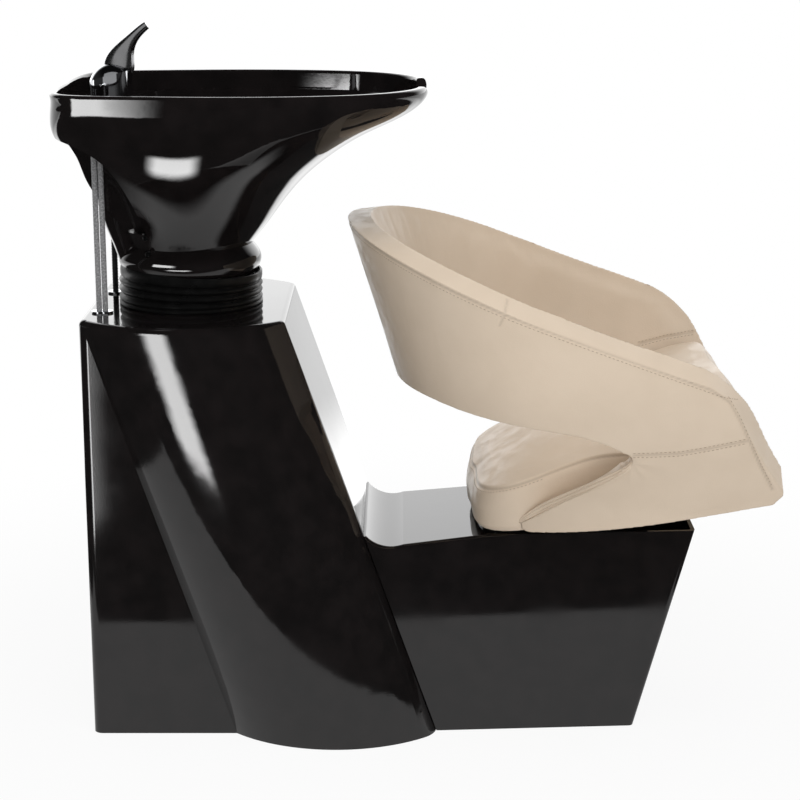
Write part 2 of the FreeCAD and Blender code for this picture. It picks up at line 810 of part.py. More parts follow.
recess_loop = [curve_points[-1], Vector(behind, spine_half, curve_points[-1].z),
               Vector(behind, spine_half, lip_under), curve_points[0]]
recess_wire = Part.Wire([recess_curve.toShape()] + Part.makePolygon(recess_loop).Edges)
recess = Part.Face(recess_wire).extrude(Vector(0, basin_half, 0))
inner_edges = [edge for edge in recess.Edges
               if isinstance(edge.Curve, Part.BSplineCurve) and edge.BoundBox.YMax < basin_half / 2]
recess = recess.makeFillet(recess_round, inner_edges)
skirted = outer.cut([recess, mirrored(recess)])


foot_low = pivot_height
foot = Part.makeLoft([neck_ring(neck_height, neck_radius),
                      neck_ring((neck_height + bead_height) / 2, (neck_radius + 2 * bead_radius) / 3),
                      neck_ring(bead_height, bead_radius), neck_ring(head_top, foot_radius + foot_flare),
                      neck_ring(foot_low, foot_radius)], True, False)
spine = []
for row in zip(spine_drop_shares, spine_rear_shares, spine_half_shares):
    down, rear_at, half_share = row
    rear = basin_rear + rear_at * basin_length
    spine.append(closed_outline(rim_height - down * (rim_height - head_top), rear, neck_x + spine_half,
                                half_share * spine_half, 0))
basin = skirted.fuse([foot, Part.makeLoft(spine, True, False)])
under = slab(neck_x - basin_half, neck_x + basin_half, -basin_half, basin_half, pivot_height - basin_half,
             head_top)
under.rotate(pivot, across, rest_lean)
basin = basin.cut(under)

ledge_z = rim_height - ledge_drop
rim_turn_shares = ((1, 0), (0.62, 0.08), (0.29, 0.29), (0.08, 0.62), (0, 1))
rim_rings = [(ledge_z, rim_wall + ledge_draft)]
for down, out in rim_turn_shares:
    rim_rings.append((rim_height - down * rim_round, rim_wall - out * rim_round))
rim_rings.append((rim_height + cut_over, rim_wall - rim_round))
upper_bowl = []
for z, more in rim_rings:
    upper_bowl.append(closed_outline(z, basin_rear + more, basin_front - more, basin_half - more, 0))
bowl_drop_shares = (-0.02, 0.12, 0.36, 0.6, 0.8, 0.94, 1)
bowl_rear_shares = (0.2, 0.207, 0.218, 0.232, 0.255, 0.285, 0.31)
bowl_front_shares = (0.93, 0.87, 0.75, 0.65, 0.57, 0.51, 0.465)
bowl_half_shares = (0.925, 0.875, 0.75, 0.6, 0.46, 0.33, 0.25)
bowl_round_shares = (0, 0.1, 0.3, 0.5, 0.75, 0.95, 1)
bowl = []
for row in zip(bowl_drop_shares, bowl_rear_shares, bowl_front_shares, bowl_half_shares, bowl_round_shares):
    down, rear_at, front_at, half_share, roundness = row
    bowl.append(closed_outline(ledge_z - down * (ledge_z - bowl_floor), basin_rear + rear_at * basin_length,
                               basin_rear + front_at * basin_length, half_share * basin_half, roundness))
lower_bowl = Part.makeLoft(bowl, True, False)
basin = basin.cut(Part.makeLoft(upper_bowl, True, True)).cut(lower_bowl)
notch_axis = Vector(math.cos(math.radians(notch_pitch)), 0, -math.sin(math.radians(notch_pitch)))
notch_centre = Vector(basin_front, 0, rim_height - notch_depth + notch_radius)
notch = rod(notch_radius, notch_centre - notch_axis * (basin_length / 4),
            notch_centre + notch_axis * cut_over)
basin = basin.cut(notch)
floor_under = bowl_floor - floor_thickness
basin = basin.cut(rod(neck_bore, neck + up * foot_low, neck + up * floor_under))
drain = Vector(drain_x, 0, 0)
basin = basin.cut(rod(drain_hole, drain + up * floor_under, drain + up * (bowl_floor + cut_over)))
tap_foot = Vector(shank_x, tap_y, ledge_z)
basin = basin.cut(rod(shank_radius + bolt_gap, tap_foot - up * (2 * shank_length), tap_foot + up * cut_over))
shower_foot = Vector(shower_x, shower_y, ledge_z)
basin = basin.cut(rod(holder_tail + bolt_gap, shower_foot - up * (2 * shank_length),
                      shower_foot + up * cut_over))
for spot, room in ((tap_foot, tap_nut_radius), (shower_foot, holder_nut_radius)):
    basin = basin.cut(rod(room + bolt_gap, spot - up * (2 * shank_length), Vector(spot.x, spot.y, lip_under)))
basin = basin.cut(bolt_holes)
side_screws = []
for high in (bead_height + 0.75 * (neck_height - bead_height),
             neck_height + 0.85 * (neck_height - bead_height)):
    angle = math.radians(180 + side_screw_angle)
    way = Vector(math.cos(angle), math.sin(angle), 0)
    centre = neck + up * high
    inside = basin.common(rod(turn_gap, centre + way * neck_bore, centre + way * (2 * bead_radius)))
    reach = max((vertex.Point - centre).Length for vertex in inside.Vertexes)
    surface = centre + way * reach
    dome = Part.makeSphere(side_screw_radius, surface, way, 0, 90, 360)
    screw = dome.fuse(rod(side_screw_radius, surface - way * side_screw_radius, surface))
    screw = screw.fuse(rod(panel_screw_radius, surface - way * (3 * side_screw_radius),
                           surface)).removeSplitter()
    hole = rod(side_screw_radius + turn_gap, surface - way * side_screw_radius,
               surface + way * side_screw_radius)
    hole = hole.fuse(rod(panel_screw_radius + turn_gap, surface - way * (3 * side_screw_radius), surface))
    side_screws += [screw, mirrored(screw)]
    basin = basin.cut([hole, mirrored(hole)])
save("basin", basin)
save("basin_side_screws", *side_screws)

# Drain: a flanged tail through the bowl's floor, a gasket, a nut and a lift-out hair strainer.

flange_low = bowl_floor + gasket
flange_high = flange_low + drain_flange_thickness
flange = rod(drain_flange_radius, drain + up * flange_low, drain + up * flange_high)
tail_low = bowl_floor - drain_length
flange = flange.fuse(rod(drain_tube, drain + up * tail_low, drain + up * flange_low))
flange = flange.cut(rod(drain_tube - pipe_wall, drain + up * (tail_low + pipe_wall),
                        drain + up * (flange_high + cut_over)))
flange = flange.cut(rod(pipe_radius - pipe_wall, drain + up * tail_low,
                        drain + up * flange_low)).removeSplitter()
save("drain_flange", flange)
seal = rod(drain_flange_radius - gasket, drain + up * bowl_floor, drain + up * flange_low)
save("drain_gasket", seal.cut(rod(drain_tube + turn_gap, drain + up * bowl_floor, drain + up * flange_low)))
nut_low = floor_under - tap_nut_height
lock = hexagon_bar(1.6 * drain_tube, drain + up * nut_low, drain + up * floor_under)
save("drain_nut", lock.cut(rod(drain_tube + turn_gap, drain + up * nut_low, drain + up * floor_under)))

strainer_low = flange_high - strainer_radius / 2
cup = rod(strainer_radius, drain + up * strainer_low, drain + up * flange_high)
cup = cup.fuse(rod(drain_tube + pipe_wall, drain + up * flange_high, drain + up * (flange_high + pipe_wall)))
cup = cup.cut(rod(strainer_radius - pipe_wall, drain + up * (strainer_low + pipe_wall),
                  drain + up * (flange_high + cut_over)))
hole_radius = strainer_radius / 10
for count, circle_share in ((1, 0), (6, 0.33), (12, 0.66)):
    for step in range(count):
        angle = math.tau * step / count
        circle = circle_share * strainer_radius
        spot = drain + Vector(circle * math.cos(angle), circle * math.sin(angle), strainer_low)
        cup = cup.cut(rod(hole_radius, spot - up * cut_over, spot + up * cut_over / 2))
save("hair_strainer", cup.removeSplitter())

# Waste: a tail pipe on the basin, a flexible length, and the trap with its outlet at the floor.

tail_pipe = rod(pipe_radius, drain + up * pipe_end, drain + up * tail_low)
tail_pipe = tail_pipe.cut(rod(pipe_radius - pipe_wall, drain + up * pipe_end, drain + up * tail_low))
save("tail_pipe", tail_pipe)
hose_top = pipe_end - soft_gap
flexible = rod(pipe_radius + pipe_wall, drain + up * trap_top, drain + up * hose_top)
flexible = flexible.cut(rod(pipe_radius - pipe_wall, drain + up * trap_top, drain + up * hose_top))
save("waste_hose", flexible)


outlet = Vector(drain_x + 2 * trap_bend + 2 * trap_over_bend, 0, 0)
trap_riser = Vector(drain_x + 2 * trap_bend, 0, 0)


def bent_pipe(radius):
    """The trap's run: down, round below, up, over, and down to the floor."""
    run = rod(radius, drain + up * trap_low, drain + up * trap_top)
    disc = Part.Face(Part.Wire(Part.makeCircle(radius, drain + up * trap_low, up)))
    run = run.fuse(disc.revolve(drain + along * trap_bend + up * trap_low, -across, 180))
    run = run.fuse(rod(radius, trap_riser + up * trap_low, trap_riser + up * trap_high))
    disc = Part.Face(Part.Wire(Part.makeCircle(radius, trap_riser + up * trap_high, up)))
    run = run.fuse(disc.revolve(trap_riser + along * trap_over_bend + up * trap_high, across, 180))
    return run.fuse(rod(radius, outlet + up * pad_thickness, outlet + up * trap_high))


coupling_low = pad_thickness + outlet_length
coupling = rod(pipe_radius + 2 * pipe_wall, outlet + up * coupling_low,
               outlet + up * (coupling_low + coupling_height))
collar = rod(pipe_radius + pipe_wall, drain + up * (trap_top - pipe_radius), drain + up * trap_top)
trap = bent_pipe(pipe_radius).fuse([coupling, collar]).removeSplitter()
trap = trap.cut(bent_pipe(pipe_radius - pipe_wall))
save("waste_trap", trap)
clip_low = outlet + up * (rail_height - tube / 2)
clip_high = outlet + up * (rail_height + tube / 2)
clip = rod(pipe_radius + clip_thickness, clip_low, clip_high)
rail_face = column_leg_front + tube / 2
clip = clip.fuse(slab(rail_face, outlet.x, -clip_thickness / 2, clip_thickness / 2, clip_low.z, clip_high.z))
clip = clip.fuse(slab(rail_face, rail_face + clip_thickness, -pipe_radius, pipe_radius, clip_low.z,
                      clip_high.z))
save("pipe_clip", clip.cut(rod(pipe_radius + turn_gap, clip_low, clip_high)).removeSplitter())

# Mixer tap: a domed barrel on the ledge, a lever that swivels and lifts about the dome's centre.

dome_centre = Vector(tap_x + dome_shift, tap_y, ledge_z + tap_height - dome_radius)
lever_lean = math.radians(tap_lean)
lever_axis = Vector(math.sin(lever_lean), 0, math.cos(lever_lean))
barrel_foot = Vector(tap_x, tap_y, ledge_z + gasket)
barrel_neck = Vector(tap_x, tap_y, dome_centre.z)
barrel_top = Vector(tap_x, tap_y, dome_centre.z + dome_radius)
dome = rod(tap_radius, barrel_neck, barrel_top).common(Part.makeSphere(dome_radius, dome_centre))
tap_body = rod(tap_radius, barrel_foot, barrel_neck).fuse(dome).removeSplitter()
shank_top = tap_foot + up * (gasket + tap_base_height)
tap_body = tap_body.fuse(rod(tap_base_radius, tap_foot + up * gasket, shank_top))
tap_body = tap_body.fuse(rod(shank_radius, tap_foot - up * shank_length, shank_top))
driver_low = dome_centre - up * (2 * driver_radius)
tap_body = tap_body.cut(rod(driver_radius + bolt_gap, driver_low, dome_centre + up * dome_radius))
slot = Part.makeCone(driver_radius, slot_radius, dome_radius, dome_centre, up)
tap_body = tap_body.cut(slot).removeSplitter()
for spot in gland_spots:
    top = spot + up * (ledge_z - shank_length)
    tap_body = tap_body.cut(rod(hose_radius + turn_gap, top - up * bolt_gap, top + up * hose_end))
save("mixer_body", tap_body)
pad = rod(tap_radius - gasket, Vector(tap_x, tap_y, ledge_z), barrel_foot)
pad = pad.fuse(rod(tap_base_radius - gasket, tap_foot, tap_foot + up * gasket)).removeSplitter()
save("mixer_gasket", pad.cut(rod(shank_radius + turn_gap, tap_foot, tap_foot + up * gasket)))
under_ledge = Vector(shank_x, tap_y, lip_under)
tap_nut = hexagon_bar(tap_nut_radius, under_ledge - up * tap_nut_height, under_ledge)
save("mixer_nut", tap_nut.cut(rod(shank_radius + turn_gap, under_ledge - up * tap_nut_height, under_ledge)))

# The cartridge's driver turns in the barrel. The lever's stem lifts on a pin through its fork.

driver = rod(driver_radius, driver_low, dome_centre - up * stem_radius * 1.4)
fork = rod(driver_radius, driver_low, dome_centre + up * stem_radius)
gate = slab(dome_centre.x - 2 * driver_radius, dome_centre.x + 2 * driver_radius,
            tap_y - stem_radius - turn_gap, tap_y + stem_radius + turn_gap,
            driver_low.z - cut_over, dome_centre.z + cut_over)
pin_half = across * (driver_radius * 0.9)
driver = driver.fuse(fork.cut(gate))
driver = driver.cut(rod(stem_radius / 2 + turn_gap, dome_centre - pin_half * 2,
                        dome_centre + pin_half * 2)).removeSplitter()
save("mixer_driver", driver)
socket = dome_radius + bolt_gap
stem_top = dome_centre + lever_axis * (socket + lever_wall)
stem = rod(stem_radius, dome_centre, stem_top)
eye = rod(stem_radius * 1.3, dome_centre - across * stem_radius, dome_centre + across * stem_radius)
pin = rod(stem_radius / 2, dome_centre - pin_half, dome_centre + pin_half)
save("mixer_stem", eye.fuse(stem).fuse(pin))

fin_base = dome_centre + lever_axis * (socket * 0.75)
fin_tip = Vector(lever_tip_x, tap_y, lever_tip_z)
fin_bend = Vector(fin_base.x + 0.2 * (fin_tip.x - fin_base.x), tap_y,
                  fin_base.z + 0.62 * (fin_tip.z - fin_base.z))
fin_shares = ((0, 1, 0.74), (0.25, 0.86, 0.66), (0.5, 0.52, 0.54), (0.75, 0.34, 0.46), (1, 0.27, 0.4))
rings = []
for share, long_share, wide_share in fin_shares:
    centre = fin_base * (1 - share) ** 2 + fin_bend * (2 * share * (1 - share)) + fin_tip * share ** 2
    heading = (fin_bend - fin_base) * (1 - share) + (fin_tip - fin_bend) * share
    long_way = max(long_share, wide_share) * lever_half
    wide_way = min(long_share, wide_share) * lever_half
    loop = Part.Ellipse(Vector(0, 0, 0), long_way, wide_way).toShape()
    if wide_share > long_share:
        loop.rotate(Vector(0, 0, 0), up, 90)
    loop.rotate(Vector(0, 0, 0), across, math.degrees(math.atan2(heading.x, heading.z)))
    loop.translate(centre)
    rings.append(Part.Wire(loop))
fin = Part.makeLoft(rings, True, False)
lever = fin.cut(Part.makeSphere(socket, dome_centre))
lever = lever.cut(rod(stem_radius + turn_gap, dome_centre, stem_top + lever_axis * turn_gap))
save("mixer_lever", lever)

# Hand shower: a holder through the ledge, a short handle and a round head turned to the bowl.

holder_top = shower_foot + up * holder_height
holder = Part.makeCone(holder_radius, handle_radius + 2 * pipe_wall, holder_height, shower_foot, up)
holder = holder.fuse(rod(holder_tail, shower_foot - up * shank_length, shower_foot))
holder = holder.cut(rod(handle_radius + bolt_gap, shower_foot + up * pipe_wall, holder_top + up * cut_over))
holder = holder.cut(rod(sleeve_radius + turn_gap, shower_foot - up * (shank_length + cut_over),
                        holder_top)).removeSplitter()
save("shower_holder", holder)
shower_under = Vector(shower_x, shower_y, lip_under)
holder_nut = hexagon_bar(holder_nut_radius, shower_under - up * tap_nut_height, shower_under)
save("holder_nut", holder_nut.cut(rod(holder_tail + turn_gap, shower_under - up * tap_nut_height,
                                      shower_under)))

handle_low = shower_foot + up * (pipe_wall + soft_gap)
handle_top = handle_low + up * handle_height
tip_way = Vector(math.cos(math.radians(spray_lean)), 0, -math.sin(math.radians(spray_lean)))
head_face = handle_top + tip_way * head_reach
grip = rod(handle_radius, handle_low, handle_top).fuse(Part.makeSphere(handle_radius, handle_top))
cone = Part.makeCone(handle_radius * 0.9, spray_radius, head_reach - 2 * spray_thickness, handle_top, tip_way)
rim = rod(spray_radius, head_face - tip_way * (2 * spray_thickness), head_face - tip_way * spray_thickness)
grip = grip.fuse([cone, rim])
grip = grip.cut(rod(inner_hose_radius + turn_gap, handle_low - up * cut_over,
                    handle_low + up * handle_height / 2)).removeSplitter()
save("hand_shower", grip)
face = rod(spray_radius - pipe_wall, head_face - tip_way * spray_thickness,
           head_face - tip_way * (spray_thickness / 4))
for count, circle_share in ((6, 0.35), (12, 0.72)):
    for step in range(count):
        angle = math.tau * step / count
        off = FreeCAD.Rotation(up, tip_way).multVec(Vector(math.cos(angle), math.sin(angle), 0))
        spot = head_face + off * (circle_share * spray_radius)
        face = face.cut(rod(spray_radius / 20, spot - tip_way * (spray_thickness * 0.6),
                            spot + tip_way * cut_over))
save("spray_face", face)

# Its hose slides in a rigid guide under the ledge. Below the guide a flexible sleeve runs to the deck.

hose_start = handle_low + up * (handle_height / 2 - bolt_gap)
inner_hose = rod(inner_hose_radius, Vector(shower_x, shower_y, guide_low + bolt_gap), hose_start)
save("shower_hose", inner_hose)
guide_top = ledge_z - shank_length / 2
guide = rod(sleeve_radius, Vector(shower_x, shower_y, guide_low), Vector(shower_x, shower_y, guide_top))
save("shower_guide", guide.cut(rod(sleeve_bore, Vector(shower_x, shower_y, guide_low),
                                   Vector(shower_x, shower_y, guide_top))))
sleeve_low = deck_height - column_wall - cut_over
sleeve = rod(sleeve_radius, Vector(shower_x, shower_y, sleeve_low), Vector(shower_x, shower_y, guide_low))
save("shower_sleeve", sleeve.cut(rod(sleeve_bore, Vector(shower_x, shower_y, sleeve_low),
                                     Vector(shower_x, shower_y, guide_low))))

# Supply hoses run straight down from the tap's shank, through the deck, to the inlet block.

hose_high = ledge_z - shank_length + hose_end - bolt_gap
for name, spot in zip(("hot_hose", "cold_hose"), gland_spots):
    save(name, rod(hose_radius, spot + up * inlet_top, spot + up * hose_high))

pair = []
for spot in gland_spots:
    pair.append(rod(gland_rim + hose_radius, spot + up * deck_height,
                    spot + up * (deck_height + gland_height)))
gland = pair[0].fuse(pair[1])
for spot in gland_spots:
    gland = gland.cut(rod(hose_radius + soft_gap, spot + up * deck_height,
                          spot + up * (deck_height + gland_height)))
shower_gland = rod(gland_rim + sleeve_radius, shower_spot + up * deck_height,
                   shower_spot + up * (deck_height + gland_height))
shower_gland = shower_gland.cut(rod(sleeve_radius + soft_gap, shower_spot + up * deck_height,
                                    shower_spot + up * (deck_height + gland_height)))
save("supply_gland", gland.removeSplitter())
save("shower_gland", shower_gland)

inlet_low = inlet_top - inlet_height
block_front = column_leg_rear - tube / 2
block = slab(block_front - inlet_depth, block_front, tap_y - inlet_width / 2, tap_y + inlet_width / 2,
             inlet_low, inlet_top)
inlet_spots = [Vector(block_front - inlet_depth / 2, tap_y + side * inlet_pitch / 2, inlet_low)
               for side in (-1, 1)]
for spot in inlet_spots:
    block = block.fuse(rod(inlet_radius, spot - up * inlet_length, spot))
save("inlet_block", block.removeSplitter())

# Seat: riser, plywood board, wedge cushion and padded tub. Sloping surfaces are straight lines in x.


def seat_base(x):
    """Height of the seat's underside."""
    return seat_base_z + seat_base_slope * (x - seat_rear)


def cushion_top(x):
    """Height of the cushion's top seam."""
    return cushion_back_z + cushion_top_slope * (x - seat_rear)


cushion_rear_shares = ((0, 0), (0.008, 0.45), (0.045, 0.8), (0.13, 0.975), (0.3, 1))
cushion_side_shares = ((0.44, 0.06), (0.58, 0.62), (0.72, 0.95), (0.86, 1))
cushion_nose_shares = ((0.965, 0.9), (0.99, 0.55), (1, 0))
cushion_form_shares = ((0, 0.5, 0), (0.12, 0.14, 0), (0.5, 0, 0), (0.85, 0.21, 0), (1, 0.57, 0),
                       (1, 2.43, 0.6), (1, 6.43, 1))
riser_outline_shares = ((0, 0), (0.012, 0.45), (0.07, 0.8), (0.2, 0.98), (0.5, 1), (0.82, 0.98),
                        (0.95, 0.8), (1, 0.45), (1, 0))


def cushion_wire(level, inset, lift, grow):
    """The cushion's outline in the sloping plane at a level from 0, its base, to 1, its top seam."""
    rear = seat_rear + inset - grow
    front = cushion_front_low + (cushion_front_top - cushion_front_low) * level - inset + grow
    wide = cushion_wide_low + (cushion_wide_top - cushion_wide_low) * level - inset + grow
    narrow = cushion_half - inset + grow
    near = [(x, y * narrow) for x, y in cushion_rear_shares]
    near += [(x, narrow + y * (wide - narrow)) for x, y in cushion_side_shares]
    near += [(x, y * wide) for x, y in cushion_nose_shares]
    points = []
    for share, y in near:
        x = rear + share * (front - rear)
        z = seat_base(x) + level * (cushion_top(x) - seat_base(x)) + lift
        points.append(Vector(x, -y, z))
    far = [Vector(point.x, -point.y, point.z) for point in points[-2:0:-1]]
    curve = Part.BSplineCurve()
    curve.interpolate(points + far, PeriodicFlag=True)
    return Part.Wire(curve.toShape())


def cushion_form(grow):
    """The crowned wedge, its sides drawn in below and above the middle."""
    rings = []
    for level, inset_share, lift_share in cushion_form_shares:
        rings.append(cushion_wire(level, inset_share * cushion_crown, lift_share * cushion_crown, grow))
    return Part.makeLoft(rings, True, True)


board_wires = []
for high in (0, board_thickness):
    wire = cushion_wire(0, board_inset, 0, 0)
    wire.translate(up * high)
    board_wires.append(wire)
board = Part.makeLoft(board_wires, True, True)
pocket_wires = []
for high in (-cut_over, board_thickness + soft_gap):
    wire = cushion_wire(0, board_inset, 0, soft_gap)
    wire.translate(up * high)
    pocket_wires.append(wire)
board_pocket = Part.makeLoft(pocket_wires, True, True)
cushion = cushion_form(0).cut(board_pocket)
save("seat_cushion", cushion)


def riser_wire(z, inset):
    """The riser's plan outline at a height."""
    rear = seat_rear + riser_inset + inset
    front = riser_front - inset
    points = [Vector(rear + x * (front - rear), -y * (riser_half - inset), z)
              for x, y in riser_outline_shares]
    far = [Vector(point.x, -point.y, point.z) for point in points[-2:0:-1]]
    curve = Part.BSplineCurve()
    curve.interpolate(points + far, PeriodicFlag=True)
    return Part.Wire(curve.toShape())


riser_low = bench_top(seat_rear) - cut_over
riser_high = seat_base(riser_front) + cut_over
riser = Part.makeLoft([riser_wire(riser_low, riser_draft), riser_wire(riser_high, 0)], True, True)
riser = riser.cut(Part.makeLoft([riser_wire(riser_low - cut_over, riser_draft + riser_wall),
                                 riser_wire(riser_high + cut_over, riser_wall)], True, True))
ends = (seat_rear - cut_over, riser_front + cut_over)
between = side_prism([(ends[0], bench_top(ends[0])), (ends[1], bench_top(ends[1])),
                      (ends[1], seat_base(ends[1])), (ends[0], seat_base(ends[0]))],
                     column_half_width)
riser = riser.common(between)
posts = []
for spot in bench_bolt_spots:
    post = rod(3 * bolt_radius, spot + up * riser_low, spot + up * riser_high).common(between)
    posts.append(post)
    web_end = spot.y + math.copysign(riser_half - spot.y * math.copysign(1, spot.y) - riser_wall / 2, spot.y)
    web = slab(spot.x - riser_wall / 2, spot.x + riser_wall / 2, min(spot.y, web_end), max(spot.y, web_end),
               riser_low, riser_high)
    posts.append(web.common(between).common(Part.makeLoft([riser_wire(riser_low, riser_draft),
                                                           riser_wire(riser_high, 0)], True, True)))
riser = riser.fuse(posts)
seat_bolts = []
for spot in bench_bolt_spots:
    low = under_bench(spot.x, bench_drop + plate_drop)
    high = seat_base(spot.x) + board_thickness * 0.8
    hole = rod(bolt_radius + bolt_gap, spot + up * (low - cut_over), spot + up * (high + bolt_gap))
    riser = riser.cut(hole)
    board = board.cut(hole)
    shift = bolt_radius
    seat_bolts.append(bolt(bolt_radius, spot + up * (low - shift), spot + up * high))
    washer_ring = rod(2.2 * bolt_radius, spot + up * (low - shift), spot + up * (low + shift))
    washer_ring = washer_ring.cut(rod(bolt_radius + turn_gap, spot + up * (low - 2 * shift),
                                      spot + up * (low + 2 * shift)))
    lowest = side_prism([(0, under_bench(0, bench_drop + plate_drop)),
                         (tub_front, under_bench(tub_front, bench_drop + plate_drop)),
                         (tub_front, 0), (0, 0)], column_half_width)
    seat_bolts.append(washer_ring.common(lowest))
save("seat_riser", riser)
save("seat_board", board)
save("seat_bolts", *seat_bolts)

# Padded tub: a flaring wall with a sloping rim, cut open behind the arms on both sides.

tub_rear_shares = (0, 0.121, 0.319, 0.473, 0.571, 0.67, 0.775, 0.879, 1)
tub_centre_shares = (0, 0.104, 0.354, 0.667, 0.833, 0.896, 0.937, 0.971, 1)
tub_half_shares = (0, 0.091, 0.416, 0.727, 0.883, 0.922, 0.948, 0.974, 1)
quarter_angles = (0, 12, 26, 40, 54, 68, 80)


def tub_wire(z, rear, centre, half, inset):
    """The tub's plan outline at a height: a half ellipse behind, straight sides to the front."""
    reach = centre - rear - inset
    width = half - inset
    near = [Vector(tub_front + inset, -width, z), Vector((centre + tub_front + inset) / 2, -width, z),
            Vector(centre, -width, z)]
    for degrees in quarter_angles[:0:-1]:
        angle = math.radians(degrees)
        near.append(Vector(centre - reach * math.cos(angle), -width * math.sin(angle), z))
    far = [Vector(point.x, -point.y, point.z) for point in near[::-1]]
    curve = Part.BSplineCurve()
    curve.interpolate(near + [Vector(centre - reach, 0, z)] + far)
    return Part.Wire([curve.toShape(), Part.makeLine(far[-1], near[0])])


def tub_form(inset):
    """The tub's solid form, drawn in by an inset."""
    rings = []
    steps = len(tub_rear_shares) - 1
    for step, row in enumerate(zip(tub_rear_shares, tub_centre_shares, tub_half_shares)):
        rear = tub_foot_rear + row[0] * (tub_top_rear - tub_foot_rear)
        centre = tub_foot_centre + row[1] * (tub_top_centre - tub_foot_centre)
        half = tub_foot_half + row[2] * (tub_top_half - tub_foot_half)
        rings.append(tub_wire(tub_low + step * (tub_high - tub_low) / steps, rear, centre, half, inset))
    return Part.makeLoft(rings, True, False)


def tub_half_at(z):
    """Half of the tub's width at a height, between its sections."""
    steps = len(tub_half_shares) - 1
    place = max(0, (z - tub_low) * steps / (tub_high - tub_low))
    step = min(int(place), steps - 1)
    share = tub_half_shares[step] + (place - step) * (tub_half_shares[step + 1] - tub_half_shares[step])
    return tub_foot_half + share * (tub_top_half - tub_foot_half)


def rim_line(x, drop):
    """Height of the rim's line, or of a line a drop below it."""
    return rim_back_z - rim_slope * (x - rim_back_x) - drop


def rim_path(inset, drop, corner):
    """The rim's line at an inset: round the back, along both arms, and down their slanting fronts."""
    reach = rim_centre - rim_back_x - inset
    half = rim_half - inset
    points = []
    for degrees in quarter_angles:
        angle = math.radians(degrees)
        x = rim_centre - reach * math.cos(angle)
        points.append(Vector(x, -half * math.sin(angle), rim_line(x, drop)))
    back = drop * math.hypot(1, front_slope) / front_slope
    meet_x = (rim_line(0, drop) - arm_front_z - front_slope * (arm_front_x - back)) / (rim_slope -
                                                                                       front_slope)
    meet = Vector(meet_x, -half, rim_line(meet_x, drop))
    first = Vector(1, 0, -rim_slope).normalize()
    second = Vector(1, 0, -front_slope).normalize()
    turn = math.acos(first.dot(second))
    tangent = corner * math.tan(turn / 2)
    start = meet - first * tangent
    centre = start + Vector(-rim_slope, 0, -1).normalize() * corner
    for share in (0, 0.33, 0.66):
        points.append(Vector(rim_centre, -half, rim_line(rim_centre, drop)) * (1 - share) + start * share)
    for share in (0, 0.25, 0.5, 0.75, 1):
        spoke = FreeCAD.Rotation(across, math.degrees(turn) * share).multVec(start - centre)
        points.append(centre + spoke)
    corner_end = points[-1]
    fall = (seat_base_z - corner_end.z) / second.z
    for share in (0.25, 0.5, 0.75, 1):
        point = corner_end + second * (fall * share)
        points.append(Vector(point.x, inset - min(rim_half, tub_half_at(point.z)), point.z))
    return points[::-1] + [Vector(point.x, -point.y, point.z) for point in points[1:]]


def spline_edge(points):
    """A smooth edge through points in x and z, on the near side of the tub."""
    curve = Part.BSplineCurve()
    curve.interpolate([Vector(x, -tub_front, z) for x, z in points])
    return curve.toShape()


def polygon_edges(points):
    """Straight edges through points in x and z, on the near side of the tub."""
    return Part.makePolygon([Vector(x, -tub_front, z) for x, z in points]).Edges


outside_x = rim_back_x - 3 * tub_thickness
span = notch_tip_x - outside_x
band_shares = ((0.34, 0), (0.45, 0.12), (0.55, 0), (0.72, -0.22), (0.86, -0.45))
tip_top = notch_tip_z + notch_tip_height / 2
tip_low = notch_tip_z - notch_tip_height / 2
tip_start_x = notch_tip_x - notch_tip_height / 2
band_points = [(outside_x + share * span, back_bottom_z + rise * (back_bottom_z - tip_top)) for share,
               rise in band_shares]
band_points.append((tip_start_x, tip_top))
tip_arc = Part.Arc(Vector(tip_start_x, -tub_front, tip_top), Vector(notch_tip_x, -tub_front, notch_tip_z),
                   Vector(tip_start_x, -tub_front, tip_low)).toShape()
wedge_shares = ((1, 1), (0.75, 0.72), (0.49, 0.5), (0.2, 0.22), (0.05, 0.08), (0, 0))
wedge_points = [(arm_low_x + x * (tip_start_x - arm_low_x),
                 seat_base(arm_low_x) + z * (tip_low - seat_base(arm_low_x))) for x, z in wedge_shares]
toe_round = tub_thickness / 3
loop_edges = polygon_edges([(outside_x, back_bottom_z), band_points[0]])
loop_edges.append(spline_edge(band_points))
loop_edges.append(tip_arc)
loop_edges.append(spline_edge(wedge_points))
toe_under_x = tub_toe_x - toe_round
loop_edges += polygon_edges([wedge_points[-1], (toe_under_x, seat_base(toe_under_x)),
                             (tub_toe_x, tub_toe_z), (tub_toe_x - toe_round / 2, deck_height),
                             (rim_centre, 2 * deck_height), (outside_x, 2 * deck_height), (outside_x,
                                                                                           back_bottom_z)])
side_view = Part.Face(Part.Wire(loop_edges)).extrude(Vector(0, 2 * tub_front, 0))
rim_rows = []
for share in (-0.5, 1, 2.5, 4):
    rim_rows.append(rim_path(share * tub_thickness, rim_drop * (1 - share), arm_corner * (1 + share)))
rim_surface = Part.BSplineSurface()
rim_surface.interpolate(rim_rows)
under_rim = rim_surface.toShape().extrude(Vector(0, 0, -2 * deck_height))
tub = tub_form(0).cut(tub_form(tub_thickness)).common(side_view).common(under_rim)
tub = tub.cut(cushion_form(soft_gap))
under_seat = Part.makeLoft([cushion_wire(0, 0, -cut_over, soft_gap),
                            cushion_wire(0, 0, cut_over / 4, soft_gap)], True, True)
tub = tub.cut(under_seat)
save("seat_tub", tub)

# All nodes move together, so that the middle of the unit's plan is at the origin.

whole = Part.makeCompound(list(solids.values()))
extent = whole.optimalBoundingBox(False)
shift = Vector(-(extent.XMin + extent.XMax) / 2, -(extent.YMin + extent.YMax) / 2, 0)
for name, shape in solids.items():
    shape.translate(shift)
    shape.exportStep("parts/" + name + ".step")
